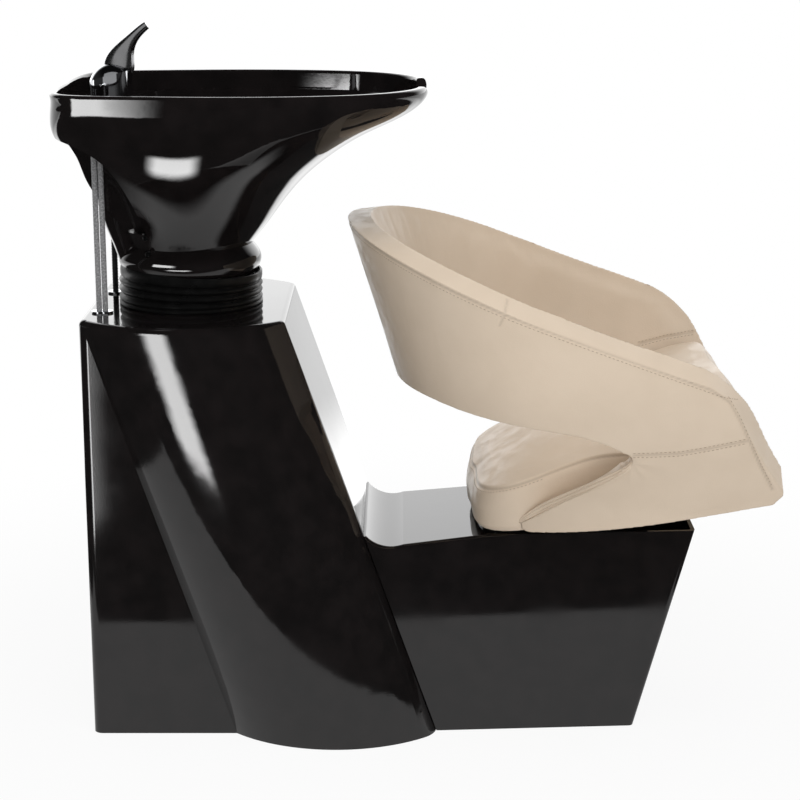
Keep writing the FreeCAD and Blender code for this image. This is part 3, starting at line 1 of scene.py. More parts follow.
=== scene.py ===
import bmesh
import bpy
import json
import math
import numpy as np
from mathutils import Matrix, Vector
from mathutils.bvhtree import BVHTree
from mathutils.kdtree import KDTree


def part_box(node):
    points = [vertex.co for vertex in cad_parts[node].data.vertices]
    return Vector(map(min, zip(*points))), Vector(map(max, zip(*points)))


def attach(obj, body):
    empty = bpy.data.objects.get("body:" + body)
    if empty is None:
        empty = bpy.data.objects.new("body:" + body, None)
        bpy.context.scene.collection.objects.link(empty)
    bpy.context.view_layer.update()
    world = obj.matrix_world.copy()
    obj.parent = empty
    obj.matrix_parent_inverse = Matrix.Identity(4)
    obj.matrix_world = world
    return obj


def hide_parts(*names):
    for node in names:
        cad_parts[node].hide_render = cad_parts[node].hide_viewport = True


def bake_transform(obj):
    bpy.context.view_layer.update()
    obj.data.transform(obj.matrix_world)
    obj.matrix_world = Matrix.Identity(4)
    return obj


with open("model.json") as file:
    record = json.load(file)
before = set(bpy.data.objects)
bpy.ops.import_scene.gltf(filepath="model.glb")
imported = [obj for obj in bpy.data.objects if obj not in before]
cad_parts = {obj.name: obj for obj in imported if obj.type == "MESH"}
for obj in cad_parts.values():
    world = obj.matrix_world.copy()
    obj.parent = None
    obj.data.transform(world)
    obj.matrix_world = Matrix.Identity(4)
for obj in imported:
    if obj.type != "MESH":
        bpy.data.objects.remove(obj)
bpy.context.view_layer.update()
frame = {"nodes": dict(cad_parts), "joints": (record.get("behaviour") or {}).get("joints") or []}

solids = frame["nodes"]

# The setting: a white floor and surround, a camera at the photograph's angle, a soft key lamp above and
# a fill lamp in front. The other lamps light nothing: only certain solids show them, as reflections in
# gloss and chrome, most of them with soft edges.

look_down = 14.2
camera = bpy.data.objects.new("camera", bpy.data.cameras.new("camera"))
camera.location = (-0.02749, -3.0355, 1.2627)
camera.rotation_euler = (math.radians(90 - look_down), 0, 0)
camera.data.lens = 90
bpy.context.collection.objects.link(camera)
bpy.context.scene.camera = camera
bpy.context.scene.view_settings.view_transform = "Standard"


def soft_lamp(name, place, target, wide, high, watts, receivers=()):
    """A rectangular lamp that faces a target. With receivers, it only shines in their gloss."""
    lamp = bpy.data.lights.new(name, "AREA")
    lamp.shape = "RECTANGLE"
    lamp.size, lamp.size_y, lamp.energy = wide, high, watts
    holder = bpy.data.objects.new(name, lamp)
    holder.location = place
    holder.rotation_euler = (Vector(target) - Vector(place)).to_track_quat("-Z", "Y").to_euler()
    holder.visible_camera = False
    holder.visible_diffuse = not receivers
    holder.visible_glossy = bool(receivers)
    bpy.context.collection.objects.link(holder)
    if receivers:
        shining = bpy.data.collections.new(name + " receivers")
        for node in receivers:
            shining.objects.link(solids[node])
        holder.light_linking.receiver_collection = shining
    return lamp


mouldings = ["column_shell", "bench_shell", "seat_riser"]
tap_parts = ["mixer_body", "hand_shower", "shower_holder"]
chrome_parts = tap_parts + ["mixer_lever", "mixer_stem", "drain_flange", "hair_strainer", "supply_gland",
                            "shower_gland"]
soft_lamp("key_lamp", place=(0.15, -0.8, 2.5), target=(0.15, -0.1, 0.6), wide=1.6, high=1.6, watts=17)
soft_lamp("fill_lamp", place=(0.4, -2.6, 0.9), target=(0.2, 0, 0.5), wide=1.8, high=1.2, watts=13)
strip = soft_lamp("strip_lamp", place=(-0.788, -0.960, 0.435), target=(-0.138, -0.085, 0.435),
                  wide=0.464, high=0.83, watts=13.3, receivers=["column_shell"])
soft_lamp("floor_lamp", place=(-0.185, -0.17, 0.0005), target=(-0.185, -0.17, 1),
          wide=1.87, high=0.94, watts=4.6, receivers=mouldings)
low = soft_lamp("low_lamp", place=(-0.391, -0.230, 0.668), target=(-0.391, -0.230, 1),
                wide=0.15, high=0.08, watts=0.33, receivers=["basin"])
deck = soft_lamp("deck_lamp", place=(-0.34, -0.125, 0.662), target=(-0.34, -0.125, 1),
                 wide=0.44, high=0.08, watts=0.083, receivers=["basin"])
band = soft_lamp("basin_lamp", place=(-1.17, -1.155, 1.0), target=(-0.37, -0.275, 1.02),
                 wide=1.06, high=0.5, watts=22, receivers=["basin"])
soft_lamp("tap_lamp", place=(-0.75, -1.2, 1.35), target=(-0.42, -0.1, 1.0),
          wide=0.5, high=0.5, watts=2.4, receivers=tap_parts)
soft_lamp("tap_room_lamp", place=(-0.4, -1.6, 2.0), target=(-0.42, -0.1, 1.0),
          wide=3.5, high=3.5, watts=14, receivers=chrome_parts)


def join(tree, source, target):
    """Joins two sockets of a node tree."""
    tree.links.new(source, target)


def ranged(tree, value, low, high, to_low, to_high):
    """A value carried smoothly from one range into another."""
    node = tree.nodes.new("ShaderNodeMapRange")
    node.interpolation_type = "SMOOTHSTEP"
    for socket, number in zip(("From Min", "From Max", "To Min", "To Max"), (low, high, to_low, to_high)):
        node.inputs[socket].default_value = number
    join(tree, value, node.inputs["Value"])
    return node.outputs["Result"]


def combined(tree, kind, first, second):
    """Two values combined by one sum, such as MULTIPLY or MAXIMUM."""
    node = tree.nodes.new("ShaderNodeMath")
    node.operation = kind
    for socket, value in zip(node.inputs, (first, second)):
        if isinstance(value, float):
            socket.default_value = value
        else:
            join(tree, value, socket)
    return node.outputs[0]


def soften(lamp, left, right, lower, upper, strength):
    """The lamp fades out towards its edges: each share of its width or height is one edge's soft part."""
    lamp.use_nodes = True
    tree = lamp.node_tree
    across = tree.nodes.new("ShaderNodeSeparateXYZ")
    join(tree, tree.nodes.new("ShaderNodeNewGeometry").outputs["Parametric"], across.inputs[0])
    total = None
    edges = (("X", left, True), ("X", right, False), ("Y", lower, True), ("Y", upper, False))
    for axis, share, low_end in edges:
        ends = (0.0, share, 0.0, 1.0) if low_end else (1 - share, 1.0, 1.0, 0.0)
        fade = ranged(tree, across.outputs[axis], *ends)
        total = combined(tree, "MULTIPLY", total, fade) if total else fade
    join(tree, combined(tree, "MULTIPLY", total, strength), tree.nodes["Emission"].inputs["Strength"])


soften(strip, left=0.35, right=0.33, lower=0.07, upper=0.05, strength=1.35)
soften(low, left=0.25, right=0.25, lower=0.3, upper=0.3, strength=1.6)
soften(deck, left=0.15, right=0.3, lower=0.3, upper=0.3, strength=1.1)
soften(band, left=0.1, right=0.35, lower=0.12, upper=0.12, strength=1.2)

room_light = 0.5
world = bpy.data.worlds.new("surround")
bpy.context.scene.world = world
world.use_nodes = True
tree = world.node_tree
background = tree.nodes["Background"]
background.inputs["Color"].default_value = (1, 1, 1, 1)
path = tree.nodes.new("ShaderNodeLightPath")
way = tree.nodes.new("ShaderNodeSeparateXYZ")
join(tree, tree.nodes.new("ShaderNodeTexCoord").outputs["Generated"], way.inputs[0])
behind = ranged(tree, way.outputs["Y"], low=0.5, high=0.85, to_low=0.02, to_high=2.2)
overhead = ranged(tree, way.outputs["Z"], low=0.45, high=0.8, to_low=1.0, to_high=0.25)
wall = combined(tree, "MULTIPLY", behind, overhead)
in_gloss = combined(tree, "MULTIPLY", wall, path.outputs["Is Glossy Ray"])
in_view = combined(tree, "MAXIMUM", path.outputs["Is Camera Ray"], path.outputs["Is Transmission Ray"])
plain = combined(tree, "MULTIPLY", path.outputs["Is Diffuse Ray"], room_light)
whole_room = combined(tree, "ADD", combined(tree, "ADD", in_gloss, in_view), plain)
join(tree, whole_room, background.inputs["Strength"])

floor_reach, floor_gap, floor_grey = 40, 0.0005, (0.93, 0.93, 0.93, 1)
floor_mesh = bpy.data.meshes.new("floor")
form = bmesh.new()
bmesh.ops.create_grid(form, x_segments=1, y_segments=1, size=floor_reach)
form.to_mesh(floor_mesh)
floor = bpy.data.objects.new("floor", floor_mesh)
floor.location = (0, 0, -floor_gap)
bpy.context.collection.objects.link(floor)
floor_paint = bpy.data.materials.new("white floor")
floor_paint.use_nodes = True
tree = floor_paint.node_tree
tree.nodes.remove(tree.nodes["Principled BSDF"])
place = tree.nodes.new("ShaderNodeSeparateXYZ")
spot = tree.nodes.new("ShaderNodeTexCoord").outputs["Object"]
join(tree, spot, place.inputs[0])
path = tree.nodes.new("ShaderNodeLightPath")
matt = tree.nodes.new("ShaderNodeBsdfDiffuse")
matt.inputs["Color"].default_value = floor_grey
white = tree.nodes.new("ShaderNodeEmission")
reach = tree.nodes.new("ShaderNodeVectorMath")
reach.operation = "LENGTH"
join(tree, spot, reach.inputs[0])
far_white = ranged(tree, reach.outputs["Value"], low=0.6, high=1.6, to_low=0.92, to_high=1.0)
seen = tree.nodes.new("ShaderNodeMixShader")
join(tree, combined(tree, "MULTIPLY", far_white, path.outputs["Is Camera Ray"]), seen.inputs[0])
join(tree, matt.outputs[0], seen.inputs[1])
join(tree, white.outputs[0], seen.inputs[2])
near_light = ranged(tree, place.outputs["Y"], low=1.1, high=1.4, to_low=0.03, to_high=2.2)
far_loss = ranged(tree, place.outputs["Y"], low=1.7, high=3.0, to_low=0.0, to_high=-1.0)
mirrored_floor = tree.nodes.new("ShaderNodeEmission")
join(tree, combined(tree, "ADD", near_light, far_loss), mirrored_floor.inputs["Strength"])
whole = tree.nodes.new("ShaderNodeMixShader")
join(tree, path.outputs["Is Glossy Ray"], whole.inputs[0])
join(tree, seen.outputs[0], whole.inputs[1])
join(tree, mirrored_floor.outputs[0], whole.inputs[2])
join(tree, whole.outputs[0], tree.nodes["Material Output"].inputs["Surface"])
floor_mesh.materials.append(floor_paint)

# Column and bench: two glass-fibre mouldings in black gelcoat, polished, with the faint waves and
# orange peel of sprayed gelcoat. The column's service panel is the same moulding, held by black screws.


def new_finish(name, colour, roughness, metal=0.0):
    """A material with its plain values on the shader's own sockets."""
    finish = bpy.data.materials.new(name)
    finish.use_nodes = True
    shader = finish.node_tree.nodes["Principled BSDF"]
    shader.inputs["Base Color"].default_value = (*colour, 1)
    shader.inputs["Roughness"].default_value = roughness
    shader.inputs["Metallic"].default_value = metal
    return finish


def clouds(finish, scale, detail=4.0, stretch=(1, 1, 1), kind="ShaderNodeTexNoise"):
    """A pattern on the piece's own coordinates."""
    tree = finish.node_tree
    spread = tree.nodes.new("ShaderNodeMapping")
    spread.inputs["Scale"].default_value = stretch
    join(tree, tree.nodes.new("ShaderNodeTexCoord").outputs["Object"], spread.inputs["Vector"])
    pattern = tree.nodes.new(kind)
    pattern.inputs["Scale"].default_value = scale
    if kind == "ShaderNodeTexNoise":
        pattern.inputs["Detail"].default_value = detail
    join(tree, spread.outputs[0], pattern.inputs["Vector"])
    return pattern.outputs["Fac" if kind == "ShaderNodeTexNoise" else "Distance"]


def tint(finish, pattern, dark, light):
    """The base colour runs from dark to light over the middle of a pattern's range."""
    tree = finish.node_tree
    ramp = tree.nodes.new("ShaderNodeValToRGB")
    for element, position, colour in zip(ramp.color_ramp.elements, (0.35, 0.65), (dark, light)):
        element.position = position
        element.color = (*colour, 1)
    join(tree, pattern, ramp.inputs[0])
    join(tree, ramp.outputs[0], tree.nodes["Principled BSDF"].inputs["Base Color"])


def smear(finish, pattern, least, most):
    """The roughness runs between two values with a pattern, as on a handled surface."""
    tree = finish.node_tree
    roughness = ranged(tree, pattern, low=0.3, high=0.7, to_low=least, to_high=most)
    join(tree, roughness, tree.nodes["Principled BSDF"].inputs["Roughness"])


def relief(finish, pattern, height, strength):
    """Bumps of a height in metres, laid over those that the finish has already."""
    tree = finish.node_tree
    normal = tree.nodes["Principled BSDF"].inputs["Normal"]
    bump = tree.nodes.new("ShaderNodeBump")
    bump.inputs["Strength"].default_value = strength
    bump.inputs["Distance"].default_value = height
    join(tree, pattern, bump.inputs["Height"])
    if normal.links:
        join(tree, normal.links[0].from_socket, bump.inputs["Normal"])
    join(tree, bump.outputs[0], normal)


def dress(finish, *names):
    """Gives a finish to solids that stay as they are."""
    for name in names:
        solids[name].material_slots[0].material = finish


gelcoat = new_finish("black gelcoat", colour=(0.009, 0.008, 0.008), roughness=0.06)
tint(gelcoat, clouds(gelcoat, scale=30), dark=(0.007, 0.006, 0.006), light=(0.011, 0.009, 0.009))
smear(gelcoat, clouds(gelcoat, scale=9, detail=6), least=0.035, most=0.1)
relief(gelcoat, clouds(gelcoat, scale=7, detail=1), height=0.0012, strength=0.12)
relief(gelcoat, clouds(gelcoat, scale=420, detail=2), height=0.00008, strength=0.2)
dress(gelcoat, "column_shell", "bench_shell", "service_panel")

screw_black = new_finish("blackened screw", colour=(0.02, 0.02, 0.021), roughness=0.35, metal=0.8)
tint(screw_black, clouds(screw_black, scale=300), dark=(0.012, 0.012, 0.013), light=(0.035, 0.034, 0.034))
smear(screw_black, clouds(screw_black, scale=120), least=0.25, most=0.45)
relief(screw_black, clouds(screw_black, scale=900), height=0.0001, strength=0.3)
dress(screw_black, "service_screws", "shell_bolts", "basin_side_screws")

# Riser between bench and seat: a low glass-fibre plinth in the same gelcoat. It is a little duller than
# the bench, because the seat above it is wiped down often.

riser_coat = new_finish("black riser", colour=(0.008, 0.007, 0.007), roughness=0.12)
tint(riser_coat, clouds(riser_coat, scale=40), dark=(0.006, 0.006, 0.006), light=(0.011, 0.010, 0.010))
smear(riser_coat, clouds(riser_coat, scale=14, detail=6), least=0.08, most=0.2)
relief(riser_coat, clouds(riser_coat, scale=9, detail=1), height=0.001, strength=0.12)
relief(riser_coat, clouds(riser_coat, scale=500, detail=2), height=0.0001, strength=0.25)
dress(riser_coat, "seat_riser")

# Frames: welded square steel tube inside both shells, powder coated. Their foot plates stand on black
# rubber pads and are bolted to the floor. Drain and tap have gaskets of the same rubber.

powder = new_finish("powder coat", colour=(0.035, 0.036, 0.038), roughness=0.5)
tint(powder, clouds(powder, scale=60), dark=(0.028, 0.029, 0.031), light=(0.045, 0.046, 0.048))
smear(powder, clouds(powder, scale=200), least=0.42, most=0.6)
relief(powder, clouds(powder, scale=1100, detail=2), height=0.0002, strength=0.5)
dress(powder, "column_frame", "bench_frame", "pipe_clip")

pad_rubber = new_finish("pad rubber", colour=(0.014, 0.014, 0.014), roughness=0.75)
tint(pad_rubber, clouds(pad_rubber, scale=90), dark=(0.010, 0.010, 0.010), light=(0.022, 0.021, 0.020))
smear(pad_rubber, clouds(pad_rubber, scale=70), least=0.65, most=0.85)
relief(pad_rubber, clouds(pad_rubber, scale=700), height=0.0002, strength=0.4)
dress(pad_rubber, "floor_pads", "drain_gasket", "mixer_gasket")

# Tilt unit: two pressed steel plates with lugs, zinc plated and joined by shoulder bolts. Washers of
# pressed fibre between the lugs hold the basin at its angle by friction.

steel = new_finish("zinc plated steel", colour=(0.55, 0.56, 0.58), roughness=0.35, metal=1.0)
tint(steel, clouds(steel, scale=160, detail=6), dark=(0.42, 0.43, 0.45), light=(0.62, 0.63, 0.65))
smear(steel, clouds(steel, scale=45, detail=5, stretch=(1, 1, 6)), least=0.25, most=0.5)
relief(steel, clouds(steel, scale=500, detail=4, stretch=(1, 1, 8)), height=0.0001, strength=0.2)
dress(steel, "tilt_base", "tilt_head", "tilt_base_bolts", "head_bolts", "pivot_bolts", "seat_bolts",
      "bellows_ring")

fibre = new_finish("pressed fibre", colour=(0.22, 0.13, 0.07), roughness=0.8)
tint(fibre, clouds(fibre, scale=500, detail=6), dark=(0.16, 0.09, 0.05), light=(0.28, 0.17, 0.10))
relief(fibre, clouds(fibre, scale=1500), height=0.0001, strength=0.5)
dress(fibre, "friction_washers")

# Bellows: a moulded rubber sleeve, a smooth band under the basin and three round folds below it. It
# stands on the deck round a steel ring and the tilt unit, and is built with a slight lean towards its top.

tilt = next(joint for joint in frame["joints"] if joint["name"] == "basin_tilt")
neck_x, neck_y, pivot_z = tilt["pos_m"]
bellows_low, bellows_span, bellows_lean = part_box("bellows")[0].z, 0.0554, math.radians(3.7)
sleeve_sides, sleeve_wall = 128, 0.003
folds, fold_steps, fold_roundness = 3, 8, 0.7
fold_crest, fold_root = 0.1100, 0.1034
lip_high, band_low = 0.07, 0.70
lip_outline = ((0.0, 0.1090), (0.02, fold_crest), (lip_high, fold_crest))
band_outline = ((0.72, 0.1072), (0.75, 0.1084), (0.85, 0.1090), (0.98, 0.1084), (1.0, 0.1076))
weld = 1e-6


def fold_outline():
    """The sleeve's outside from the deck up, as shares of its height and radii."""
    points = list(lip_outline)
    step = (band_low - lip_high) / folds
    for fold in range(folds):
        for turn in range(1, fold_steps + 1):
            swell = math.sin(math.pi * turn / fold_steps) ** fold_roundness if turn < fold_steps else 0.0
            share = lip_high + step * (fold + turn / fold_steps)
            points.append((share, fold_root + swell * (fold_crest - fold_root)))
    return points + list(band_outline)


def new_piece(name, form, finish):
    """A bmesh made into an object with its finish."""
    mesh = bpy.data.meshes.new(name)
    form.to_mesh(mesh)
    form.free()
    mesh.materials.append(finish)
    piece = bpy.data.objects.new(name, mesh)
    bpy.context.collection.objects.link(piece)
    return piece


def turned(outline, steps, closed):
    """A profile of radius and height, turned all round the upright axis."""
    form = bmesh.new()
    corners = [form.verts.new((radius, 0, height)) for radius, height in outline]
    for first, second in zip(corners, corners[1:] + corners[:1] if closed else corners[1:]):
        form.edges.new((first, second))
    bmesh.ops.spin(form, geom=form.verts[:] + form.edges[:], cent=(0, 0, 0), axis=(0, 0, 1),
                   angle=math.tau, steps=steps, use_merge=True)
    bmesh.ops.remove_doubles(form, verts=form.verts, dist=weld)
    bmesh.ops.recalc_face_normals(form, faces=form.faces)
    for face in form.faces:
        face.smooth = True
    return form


rubber = new_finish("bellows rubber", colour=(0.006, 0.006, 0.006), roughness=0.38)
rubber.node_tree.nodes["Principled BSDF"].inputs["Specular IOR Level"].default_value = 0.25
tint(rubber, clouds(rubber, scale=70), dark=(0.005, 0.005, 0.005), light=(0.008, 0.008, 0.008))
smear(rubber, clouds(rubber, scale=30, detail=6), least=0.26, most=0.5)
relief(rubber, clouds(rubber, scale=900), height=0.0001, strength=0.3)
relief(rubber, clouds(rubber, scale=18, detail=1), height=0.0006, strength=0.15)
outside = [(radius, share) for share, radius in fold_outline()]
inside = [(radius - sleeve_wall, share) for radius, share in reversed(outside)]
sleeve_form = turned(outside + inside, steps=sleeve_sides, closed=True)
for corner in sleeve_form.verts:
    lean = bellows_lean * corner.co.z
    arm = bellows_low + corner.co.z * bellows_span - pivot_z
    flat = Vector((corner.co.x, corner.co.y, 0))
    flat.rotate(Matrix.Rotation(lean, 3, "Y"))
    corner.co = flat + Vector((neck_x + arm * math.sin(lean), neck_y, pivot_z + arm * math.cos(lean)))
bellows_sleeve = new_piece("bellows_sleeve", sleeve_form, rubber)
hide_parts("bellows")
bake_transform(bellows_sleeve)

# Basin: one casting of vitreous china in a black glaze, glossier than the gelcoat, with the slow waves
# of fired glaze. Four bolts hold its foot on the tilt unit.

glaze = new_finish("black glaze", colour=(0.008, 0.007, 0.007), roughness=0.03)
tint(glaze, clouds(glaze, scale=24), dark=(0.006, 0.005, 0.005), light=(0.010, 0.008, 0.008))
smear(glaze, clouds(glaze, scale=11, detail=6), least=0.015, most=0.055)
relief(glaze, clouds(glaze, scale=9, detail=1), height=0.0012, strength=0.14)
relief(glaze, clouds(glaze, scale=160, detail=2), height=0.00006, strength=0.2)
dress(glaze, "basin")

# Drain and tap: a chromed flange with a lift-out hair strainer, screwed down by a brass nut under the
# bowl, and a chromed single-lever tap with a brass driver. The waste pipes below are white plastic.

chrome = new_finish("chrome plate", colour=(0.62, 0.63, 0.65), roughness=0.05, metal=1.0)
tint(chrome, clouds(chrome, scale=35), dark=(0.58, 0.59, 0.61), light=(0.66, 0.67, 0.69))
smear(chrome, clouds(chrome, scale=60, detail=6), least=0.03, most=0.1)
relief(chrome, clouds(chrome, scale=30, detail=1), height=0.0003, strength=0.1)
dress(chrome, "drain_flange", "hair_strainer", "mixer_body", "supply_gland", "shower_gland")

dark_chrome = new_finish("lever chrome", colour=(0.5, 0.5, 0.51), roughness=0.2, metal=1.0)
tint(dark_chrome, clouds(dark_chrome, scale=35), dark=(0.46, 0.46, 0.47), light=(0.54, 0.54, 0.55))
smear(dark_chrome, clouds(dark_chrome, scale=60, detail=6), least=0.15, most=0.28)
relief(dark_chrome, clouds(dark_chrome, scale=30, detail=1), height=0.0003, strength=0.1)
dress(dark_chrome, "mixer_lever", "mixer_stem")

brass = new_finish("rough brass", colour=(0.62, 0.45, 0.2), roughness=0.3, metal=1.0)
tint(brass, clouds(brass, scale=120, detail=6), dark=(0.5, 0.35, 0.15), light=(0.68, 0.5, 0.24))
smear(brass, clouds(brass, scale=80), least=0.22, most=0.45)
relief(brass, clouds(brass, scale=700), height=0.0001, strength=0.3)
dress(brass, "mixer_nut", "holder_nut", "mixer_driver", "inlet_block", "drain_nut")

pipe_white = new_finish("waste plastic", colour=(0.78, 0.78, 0.76), roughness=0.35)
tint(pipe_white, clouds(pipe_white, scale=22), dark=(0.72, 0.72, 0.70), light=(0.80, 0.80, 0.78))
smear(pipe_white, clouds(pipe_white, scale=50), least=0.28, most=0.45)
relief(pipe_white, clouds(pipe_white, scale=600), height=0.00008, strength=0.3)
dress(pipe_white, "tail_pipe", "waste_trap")

# Hand shower: chromed brass head in a chromed holder, with a grey rubber face of spray holes. Its
# black hose slides in a rigid grey guide under the ledge.

dress(chrome, "hand_shower", "shower_holder")
spray_grey = new_finish("spray face rubber", colour=(0.16, 0.165, 0.17), roughness=0.55)
tint(spray_grey, clouds(spray_grey, scale=200), dark=(0.14, 0.145, 0.15), light=(0.19, 0.195, 0.2))
smear(spray_grey, clouds(spray_grey, scale=160), least=0.45, most=0.65)
relief(spray_grey, clouds(spray_grey, scale=1200), height=0.0001, strength=0.4)
dress(spray_grey, "spray_face", "shower_guide")

hose_black = new_finish("dark hose", colour=(0.02, 0.02, 0.022), roughness=0.4)
tint(hose_black, clouds(hose_black, scale=200), dark=(0.014, 0.014, 0.015), light=(0.03, 0.03, 0.032))
smear(hose_black, clouds(hose_black, scale=150), least=0.3, most=0.5)
relief(hose_black, clouds(hose_black, scale=900), height=0.0001, strength=0.3)
dress(hose_black, "shower_hose")

# Supply hoses: EPDM tubes under a woven steel braid. They hang straight from the tap's shank, pass the
# deck through the chromed gland and end at the inlet block.

braid_low, braid_lay, braid_steps = 0.640, 0.021, 14
core_radius, core_sides = 0.0035, 20
strands, strand_radius, strand_sides = 8, 0.00042, 5
under_way, over_way = (-1, 0.6), (1, 0.9)


def braided(name, node):
    """One hose in its solid's place: a smooth core with strands wound both ways round it."""
    steel_braid = new_finish(name + " braid", colour=(0.66, 0.66, 0.67), roughness=0.3, metal=0.4)
    tint(steel_braid, clouds(steel_braid, scale=900), dark=(0.5, 0.5, 0.51), light=(0.74, 0.74, 0.75))
    smear(steel_braid, clouds(steel_braid, scale=300), least=0.15, most=0.35)
    lowest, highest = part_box(node)
    x, y = (lowest.x + highest.x) / 2, (lowest.y + highest.y) / 2
    form = turned([(core_radius, lowest.z), (core_radius, highest.z)], steps=core_sides, closed=False)
    for end in (lowest.z, highest.z):
        loop = [edge for edge in form.edges
                if edge.is_boundary and all(abs(corner.co.z - end) < weld for corner in edge.verts)]
        bmesh.ops.contextual_create(form, geom=loop)
    turns = (highest.z - braid_low) / braid_lay
    steps = int(turns * braid_steps)
    for hand, stand_off in (under_way, over_way):
        strand = bmesh.new()
        radius = core_radius + strand_radius * stand_off
        at = Matrix.Translation((radius, 0, braid_low)) @ Matrix.Rotation(math.pi / 2, 4, "X")
        ring = bmesh.ops.create_circle(strand, segments=strand_sides, radius=strand_radius, cap_ends=False,
                                       matrix=at)["verts"]
        bmesh.ops.spin(strand, geom=ring + strand.edges[:], cent=(0, 0, 0), axis=(0, 0, hand),
                       dvec=(0, 0, (highest.z - braid_low) / steps), angle=math.tau * turns, steps=steps)
        wound = bpy.data.meshes.new("strand")
        strand.to_mesh(wound)
        strand.free()
        for number in range(strands):
            form.from_mesh(wound)
            wound.transform(Matrix.Rotation(math.tau / strands, 4, "Z"))
        bpy.data.meshes.remove(wound)
    for face in form.faces:
        face.smooth = True
    bmesh.ops.recalc_face_normals(form, faces=form.faces)
    bmesh.ops.translate(form, verts=form.verts, vec=(x, y, 0))
    hose = new_piece(name, form, steel_braid)
    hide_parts(node)
    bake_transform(hose)


braided("braided_hose_hot", "hot_hose")
braided("braided_hose_cold", "cold_hose")

# Shower sleeve and waste hose: a ribbed black sleeve that carries on below the shower's rigid guide and
# passes the deck, and a ribbed white hose between tail pipe and trap.

rib_height, rib_steps, ribbed_sides = 0.0009, 6, 32


def ribbed(name, node, outer, inner, pitch, finish):
    """A hose in its solid's place, with round ribs along its length, open through the middle."""
    lowest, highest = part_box(node)
    x, y = highest.x - outer, (lowest.y + highest.y) / 2
    length = highest.z - lowest.z
    count = round(length / pitch)
    outline = []
    for rib in range(count):
        for turn in range(rib_steps):
            swell = 0.5 - 0.5 * math.cos(math.tau * turn / rib_steps)
            height = lowest.z + length * (rib + turn / rib_steps) / count
            outline.append((outer - rib_height + rib_height * swell, height))
    outline += [(outer - rib_height, highest.z), (inner, highest.z), (inner, lowest.z)]
    form = turned(outline, steps=ribbed_sides, closed=True)
    bmesh.ops.translate(form, verts=form.verts, vec=(x, y, 0))
    hose = new_piece(name, form, finish)
    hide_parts(node)
    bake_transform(hose)


ribbed("shower_hose_sleeve", "shower_sleeve", outer=0.0049, inner=0.0043, pitch=0.0045,
       finish=hose_black)
ribbed("waste_hose_ribbed", "waste_hose", outer=0.022, inner=0.018, pitch=0.007,
       finish=pipe_white)

# Seat board: a sheet of birch plywood with its grain from front to back, let into the cushion's
# underside. It lies on the riser, and bolts come up into it from under the bench.

plywood = new_finish("birch plywood", colour=(0.6, 0.43, 0.26), roughness=0.6)
tint(plywood, clouds(plywood, scale=14, detail=6, stretch=(1, 14, 1)), dark=(0.5, 0.34, 0.19),
     light=(0.68, 0.5, 0.31))
smear(plywood, clouds(plywood, scale=60), least=0.5, most=0.7)
relief(plywood, clouds(plywood, scale=120, detail=4, stretch=(1, 12, 1)), height=0.0003, strength=0.3)
dress(plywood, "seat_board")

# Seat tub: cream leather drawn tight over foam on a moulded shell, with open sides. Its form is its
# solid's; the panels between the edges are swollen by cloth pressure, and then the seams are drawn in.

leather = new_finish("cream leather", colour=(0.77, 0.634, 0.493), roughness=0.45)
tint(leather, clouds(leather, scale=16, detail=5), dark=(0.755, 0.62, 0.48), light=(0.785, 0.648, 0.506))
smear(leather, clouds(leather, scale=40, detail=5), least=0.38, most=0.55)
relief(leather, clouds(leather, scale=520, kind="ShaderNodeTexVoronoi"), height=0.0004, strength=0.3)
relief(leather, clouds(leather, scale=60, detail=3), height=0.0004, strength=0.06)
# Painted shade: the leather's colour is mixed towards a dark brown in the seams' grooves, more where a
# groove is drawn in deeper.
seam_shade_share, seam_shade_brown = 0.4, (0.30, 0.23, 0.17, 1)
tree = leather.node_tree
groove_shade = tree.nodes.new("ShaderNodeAttribute")
groove_shade.attribute_name = "seam"
shaded = tree.nodes.new("ShaderNodeMix")
shaded.data_type = "RGBA"
base_colour = tree.nodes["Principled BSDF"].inputs["Base Color"]
join(tree, combined(tree, "MULTIPLY", groove_shade.outputs["Fac"], seam_shade_share), shaded.inputs["Factor"])
join(tree, base_colour.links[0].from_socket, shaded.inputs["A"])
shaded.inputs["B"].default_value = seam_shade_brown
join(tree, shaded.outputs["Result"], base_colour)

edge_angle, edge_step = math.radians(35), 0.003
cloth_grain, cloth_steps, air_pressure, pin_reach = 0.009, 20, 5, 0.9
form_depth, form_weld, leather_inset = 8, 1e-5, 0.0012
near_count, near_least, move_least = 4, 1e-4, 1e-9
seam_width, darkest_depth = 0.0018, 0.0016


def settle(piece):
    """Leaves the piece's mesh as its modifiers made it."""
    graph = bpy.context.evaluated_depsgraph_get()
    mesh = bpy.data.meshes.new_from_object(piece.evaluated_get(graph))
    piece.modifiers.clear()
    piece.data = mesh


def corners_of(mesh):
    """The mesh's corner places as an array."""
    places = np.empty(len(mesh.vertices) * 3)
    mesh.vertices.foreach_get("co", places)
    return places.reshape(-1, 3)


def normals_of(mesh):
    """The mesh's corner normals as an array."""
    normals = np.empty(len(mesh.vertices) * 3)
    mesh.vertex_normals.foreach_get("vector", normals)
    return normals.reshape(-1, 3)


def sharp_edges(form):
    """Places spread along the form's sharp edges."""
    spots = []
    for edge in form.edges:
        if edge.calc_face_angle(0) > edge_angle:
            first, second = (corner.co for corner in edge.verts)
            steps = max(1, int(edge.calc_length() / edge_step))
            spots += [first.lerp(second, step / steps) for step in range(steps + 1)]
    return spots


def searchable(places):
    """The places in a tree that finds the nearest of them."""
    found = KDTree(len(places))
    for number, place in enumerate(places):
        found.insert(place, number)
    found.balance()
    return found


